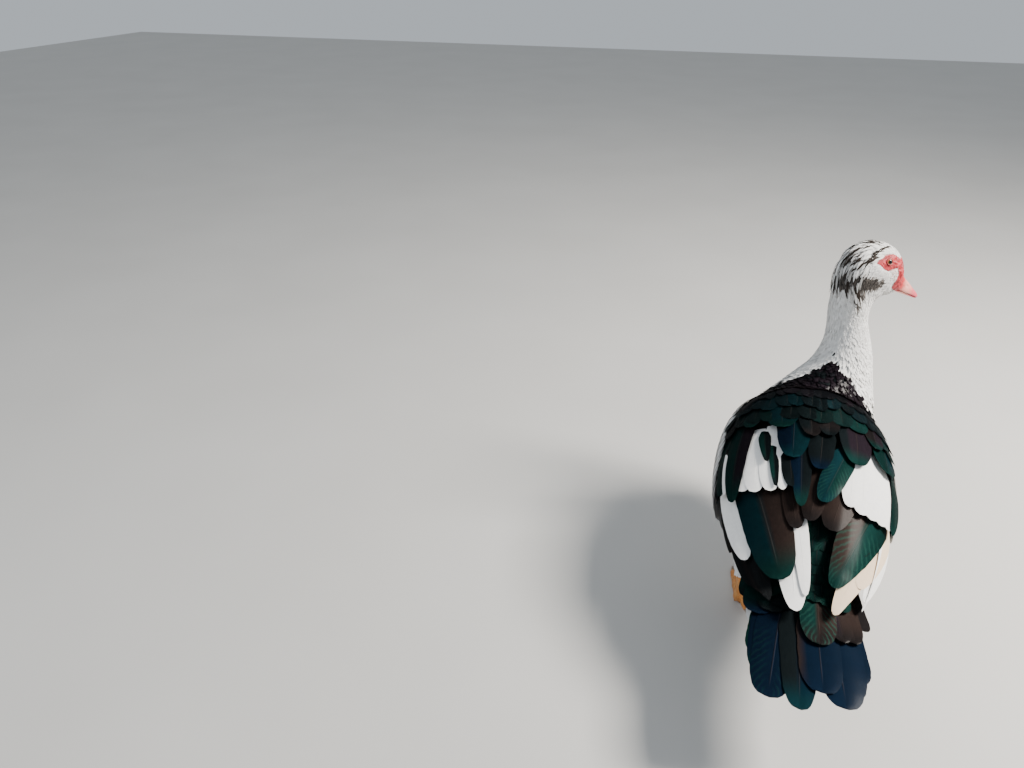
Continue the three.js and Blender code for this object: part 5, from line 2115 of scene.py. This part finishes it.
@dataclass
class Leg:
    """Shank, webbed foot and claws of one side."""

    side: Side
    # Middle line of the shank as x, y and z, and its radius.
    shank: tuple[tuple[float, ...], ...] = (
        (70.6, 63, 87, 9.6), (71, 58, 79, 8.6), (72, 42, 50, 6.4), (72, 31, 28, 7.2), (72, 27, 17, 8.0),
        (72, 22, 9, 7.9), (72, 19, 4, 5.6))
    # Turn, reach, half width and height of the inner, middle and outer toe.
    toes: tuple[tuple[float, ...], ...] = ((39, 66, 5.2, 9), (15, 80, 5.6, 10), (-9, 70, 5.2, 9))
    heel: tuple[float, float, float] = (72.0, 24.0, 0.0)
    # Middle line of the hind toe, and its radius.
    hallux: tuple[tuple[float, ...], ...] = ((68, 27, 15, 4.4), (64, 37, 10, 3.6), (60, 45, 6.5, 2.8))
    web_high: float = 1.9
    web_low: float = 0.7

    def toe(self, turn: float, reach: float, half: float, high: float) -> Array:
        """Rings along a toe.

        Formula: half ellipses on a flat sole, thicker at two joints and notched by scutes.

        Args:
            turn: degrees to the side.
            reach: length.
            half: half width.
            high: height at the root.

        Returns:
            Places as rings.
        """
        t = np.linspace(0, 1, 60)
        knuckle = 0.86 + 0.16 * np.exp(-((t - 0.45) / 0.06) ** 2) + 0.1 * np.exp(-((t - 0.78) / 0.05) ** 2)
        knuckle = knuckle * (1 - 0.55 * soften((t - 0.9) / 0.1)) + 0.2 * soften((0.2 - t) / 0.2)
        scute = 1 - 0.05 * np.abs(np.sin(t * 60))
        ring = shares(24)
        wide = (half * knuckle)[:, None] * np.cos(ring)
        dome = (np.maximum(np.sin(ring), -0.35) + 0.35) / 1.35
        tall = (high * knuckle * scute * (1 - 0.25 * t))[:, None] * dome
        path = np.array(self.heel) + heading(turn) * (reach * t)[:, None]
        return path[:, None] + heading(turn - 90) * wide[..., None] + UP * tall[..., None]

    def web(self, a: tuple[float, ...], b: tuple[float, ...]) -> Array:
        """Rings of a web between two toes.

        Formula: lines from toe to toe at growing shares of the reach, bowed back between the
        toes and sagging, doubled above and below.

        Args:
            a: turn, reach, half width and height of one toe.
            b: the same of the next toe.

        Returns:
            Places as rings.
        """
        t = np.linspace(0.12, 0.93, 26)[:, None]
        f = np.linspace(0, 1, 22)
        ends = [heading(toe[0]) * toe[1] for toe in (a, b)]
        reach = t * (1 - 0.17 * (4 * f * (1 - f)) * t ** 2)
        line = np.array(self.heel) + blend(*ends, f[:, None]) * reach[..., None]
        fold = 0.35 * np.sin(f * 28) * np.sin(np.pi * f)
        top = line + UP * (self.web_high + 1.2 * (1 - t) + fold)[..., None]
        return np.concatenate([top, (line + UP * self.web_low)[:, ::-1]], 1)

    def claws(self) -> list[Array]:
        """Rings of the three front claws and the hind one, each bent down to a point.

        Returns:
            Places as rings, for each claw.
        """
        t = np.linspace(0, 1, 24)
        claws = []
        for turn, reach, half, high in self.toes:
            path = np.array(self.heel) + heading(turn) * (reach - 1.5 + 10.5 * t)[:, None]
            path[:, 2] = blend(high * 0.30, 0.8, t ** 1.6)
            wide = blend(half * 0.42, 0.3, t ** 1.3)
            claws.append(sweep(path, wide, wide * 1.15, 16, UP))
        t = np.linspace(0, 1, 20)
        root, tip = np.array(self.hallux[0][:3]), np.array(self.hallux[-1][:3])
        path = tip + unit(tip - root) * (7 * t - 0.8)[:, None]
        wide = blend(2.1, 0.3, t)
        return claws + [sweep(path, wide, wide, 16, UP)]

    def build(self) -> None:
        """Leg and claws."""
        name = self.side.name
        path = smooth_rows(np.array(self.shank), np.linspace(0, 6, 70))
        scute = 1 + 0.02 * np.sin(np.linspace(0, 130, 70))
        wide = path[:, 3] * scute
        rings = [sweep(path[:, :3], wide, wide * 1.08, 32, np.array([0.0, -1.0, 0.0]))]
        rings += [self.toe(*toe) for toe in self.toes]
        rings += [self.web(*self.toes[k:k + 2]) for k in range(2)]
        back = smooth_rows(np.array(self.hallux), np.linspace(0, 2, 24))
        rings.append(sweep(back[:, :3], back[:, 3], back[:, 3], 20, UP))
        solid_piece(f"leg_{name}", joined([shell(self.side.settle(ring)) for ring in rings]),
                    LegFinish(f"leg_{name}_scales").material(), "leg_skin", f"shank_{name}", f"foot_{name}")
        solid_piece(f"claws_{name}", joined([shell(self.side.settle(ring)) for ring in self.claws()]),
                    ClawFinish(f"claws_{name}_horn").material(), "claw",
                    *(f"claw_{toe}_{name}" for toe in ("inner", "middle", "outer", "hind")))


# Floor, light and camera


@dataclass
class Studio:
    """Plain pale floor, soft light and the camera at the photograph's viewing angle."""

    eye: tuple[float, float, float] = (144.0, 985.0, 900.0)
    turn: float = 17.0
    fall: float = 30.0
    lens: float = 27.0
    sensor: float = 36.0
    # What the lights point at, in metres.
    aim: tuple[float, float, float] = (0.0, 0.0, 0.25)

    def floor(self) -> None:
        """A pale floor, which isn't part of the bird."""
        bpy.ops.mesh.primitive_plane_add(size=14)
        floor = bpy.context.active_object
        floor.name = "floor"
        shader = Shader("floor_paint", 0.85)
        shader.feed("Base Color", shader.mix(shader.noise(3.0), (0.50, 0.49, 0.47), (0.56, 0.55, 0.53)))
        floor.data.materials.append(shader.material)

    def lights(self) -> None:
        """A large soft key from the photograph's right, a fill and a pale sky."""
        world = bpy.data.worlds.new("sky")
        bpy.context.scene.world = world
        world.use_nodes = True
        sky = world.node_tree.nodes["Background"]
        sky.inputs["Color"].default_value = (0.86, 0.93, 1.0, 1.0)
        sky.inputs["Strength"].default_value = 0.56
        for name, place, size, power, colour in (
            ("key", (-1.5, -0.3, 1.9), 0.7, 165, (1.0, 0.95, 0.88)),
            ("fill", (1.6, 1.2, 1.6), 1.8, 14, (0.85, 0.92, 1.0)),
        ):
            light = bpy.data.lights.new(name, "AREA")
            light.size = size
            light.energy = power
            light.color = colour
            lamp = bpy.data.objects.new(name, light)
            lamp.location = place
            lamp.rotation_euler = (Vector(self.aim) - Vector(place)).to_track_quat("-Z", "Y").to_euler()
            bpy.context.scene.collection.objects.link(lamp)

    def camera(self) -> None:
        """The camera, turned and tilted as the photograph's, all of it sharp."""
        data = bpy.data.cameras.new("camera")
        data.lens = self.lens
        data.sensor_width = self.sensor
        data.clip_end = 50.0
        camera = bpy.data.objects.new("camera", data)
        turn, fall = math.radians(self.turn), math.radians(self.fall)
        ahead = Vector((math.sin(turn) * math.cos(fall), -math.cos(turn) * math.cos(fall), -math.sin(fall)))
        right = Vector((-math.cos(turn), -math.sin(turn), 0.0))
        up = right.cross(ahead)
        place = Vector(in_frame(np.array(self.eye)))
        camera.matrix_world = Matrix((
            (right.x, up.x, -ahead.x, place.x),
            (right.y, up.y, -ahead.y, place.y),
            (right.z, up.z, -ahead.z, place.z),
            (0, 0, 0, 1)))
        bpy.context.scene.collection.objects.link(camera)
        bpy.context.scene.camera = camera

    def build(self) -> None:
        """Floor, lights and camera."""
        self.floor()
        self.lights()
        self.camera()


def main() -> None:
    """Builds the bird part by part, then the studio."""
    logging.basicConfig(level=logging.INFO, format="%(message)s")
    tube = BodyTube()
    BodySkin(tube).build()
    BodyCoat(tube).build()
    Crest(tube).build()
    Wing(LEFT, LEFT_QUILLS).build()
    Wing(RIGHT, RIGHT_QUILLS).build()
    Tail(TailTop(), TailTop(-1.0, 12.0)).build()
    Bill().build()
    for side in (LEFT, RIGHT):
        Eye(tube, side).build()
    for side in (LEFT, RIGHT):
        ThighCoat(side).build()
        Leg(side).build()
    Studio().build()


if __name__ == "__main__":
    main()
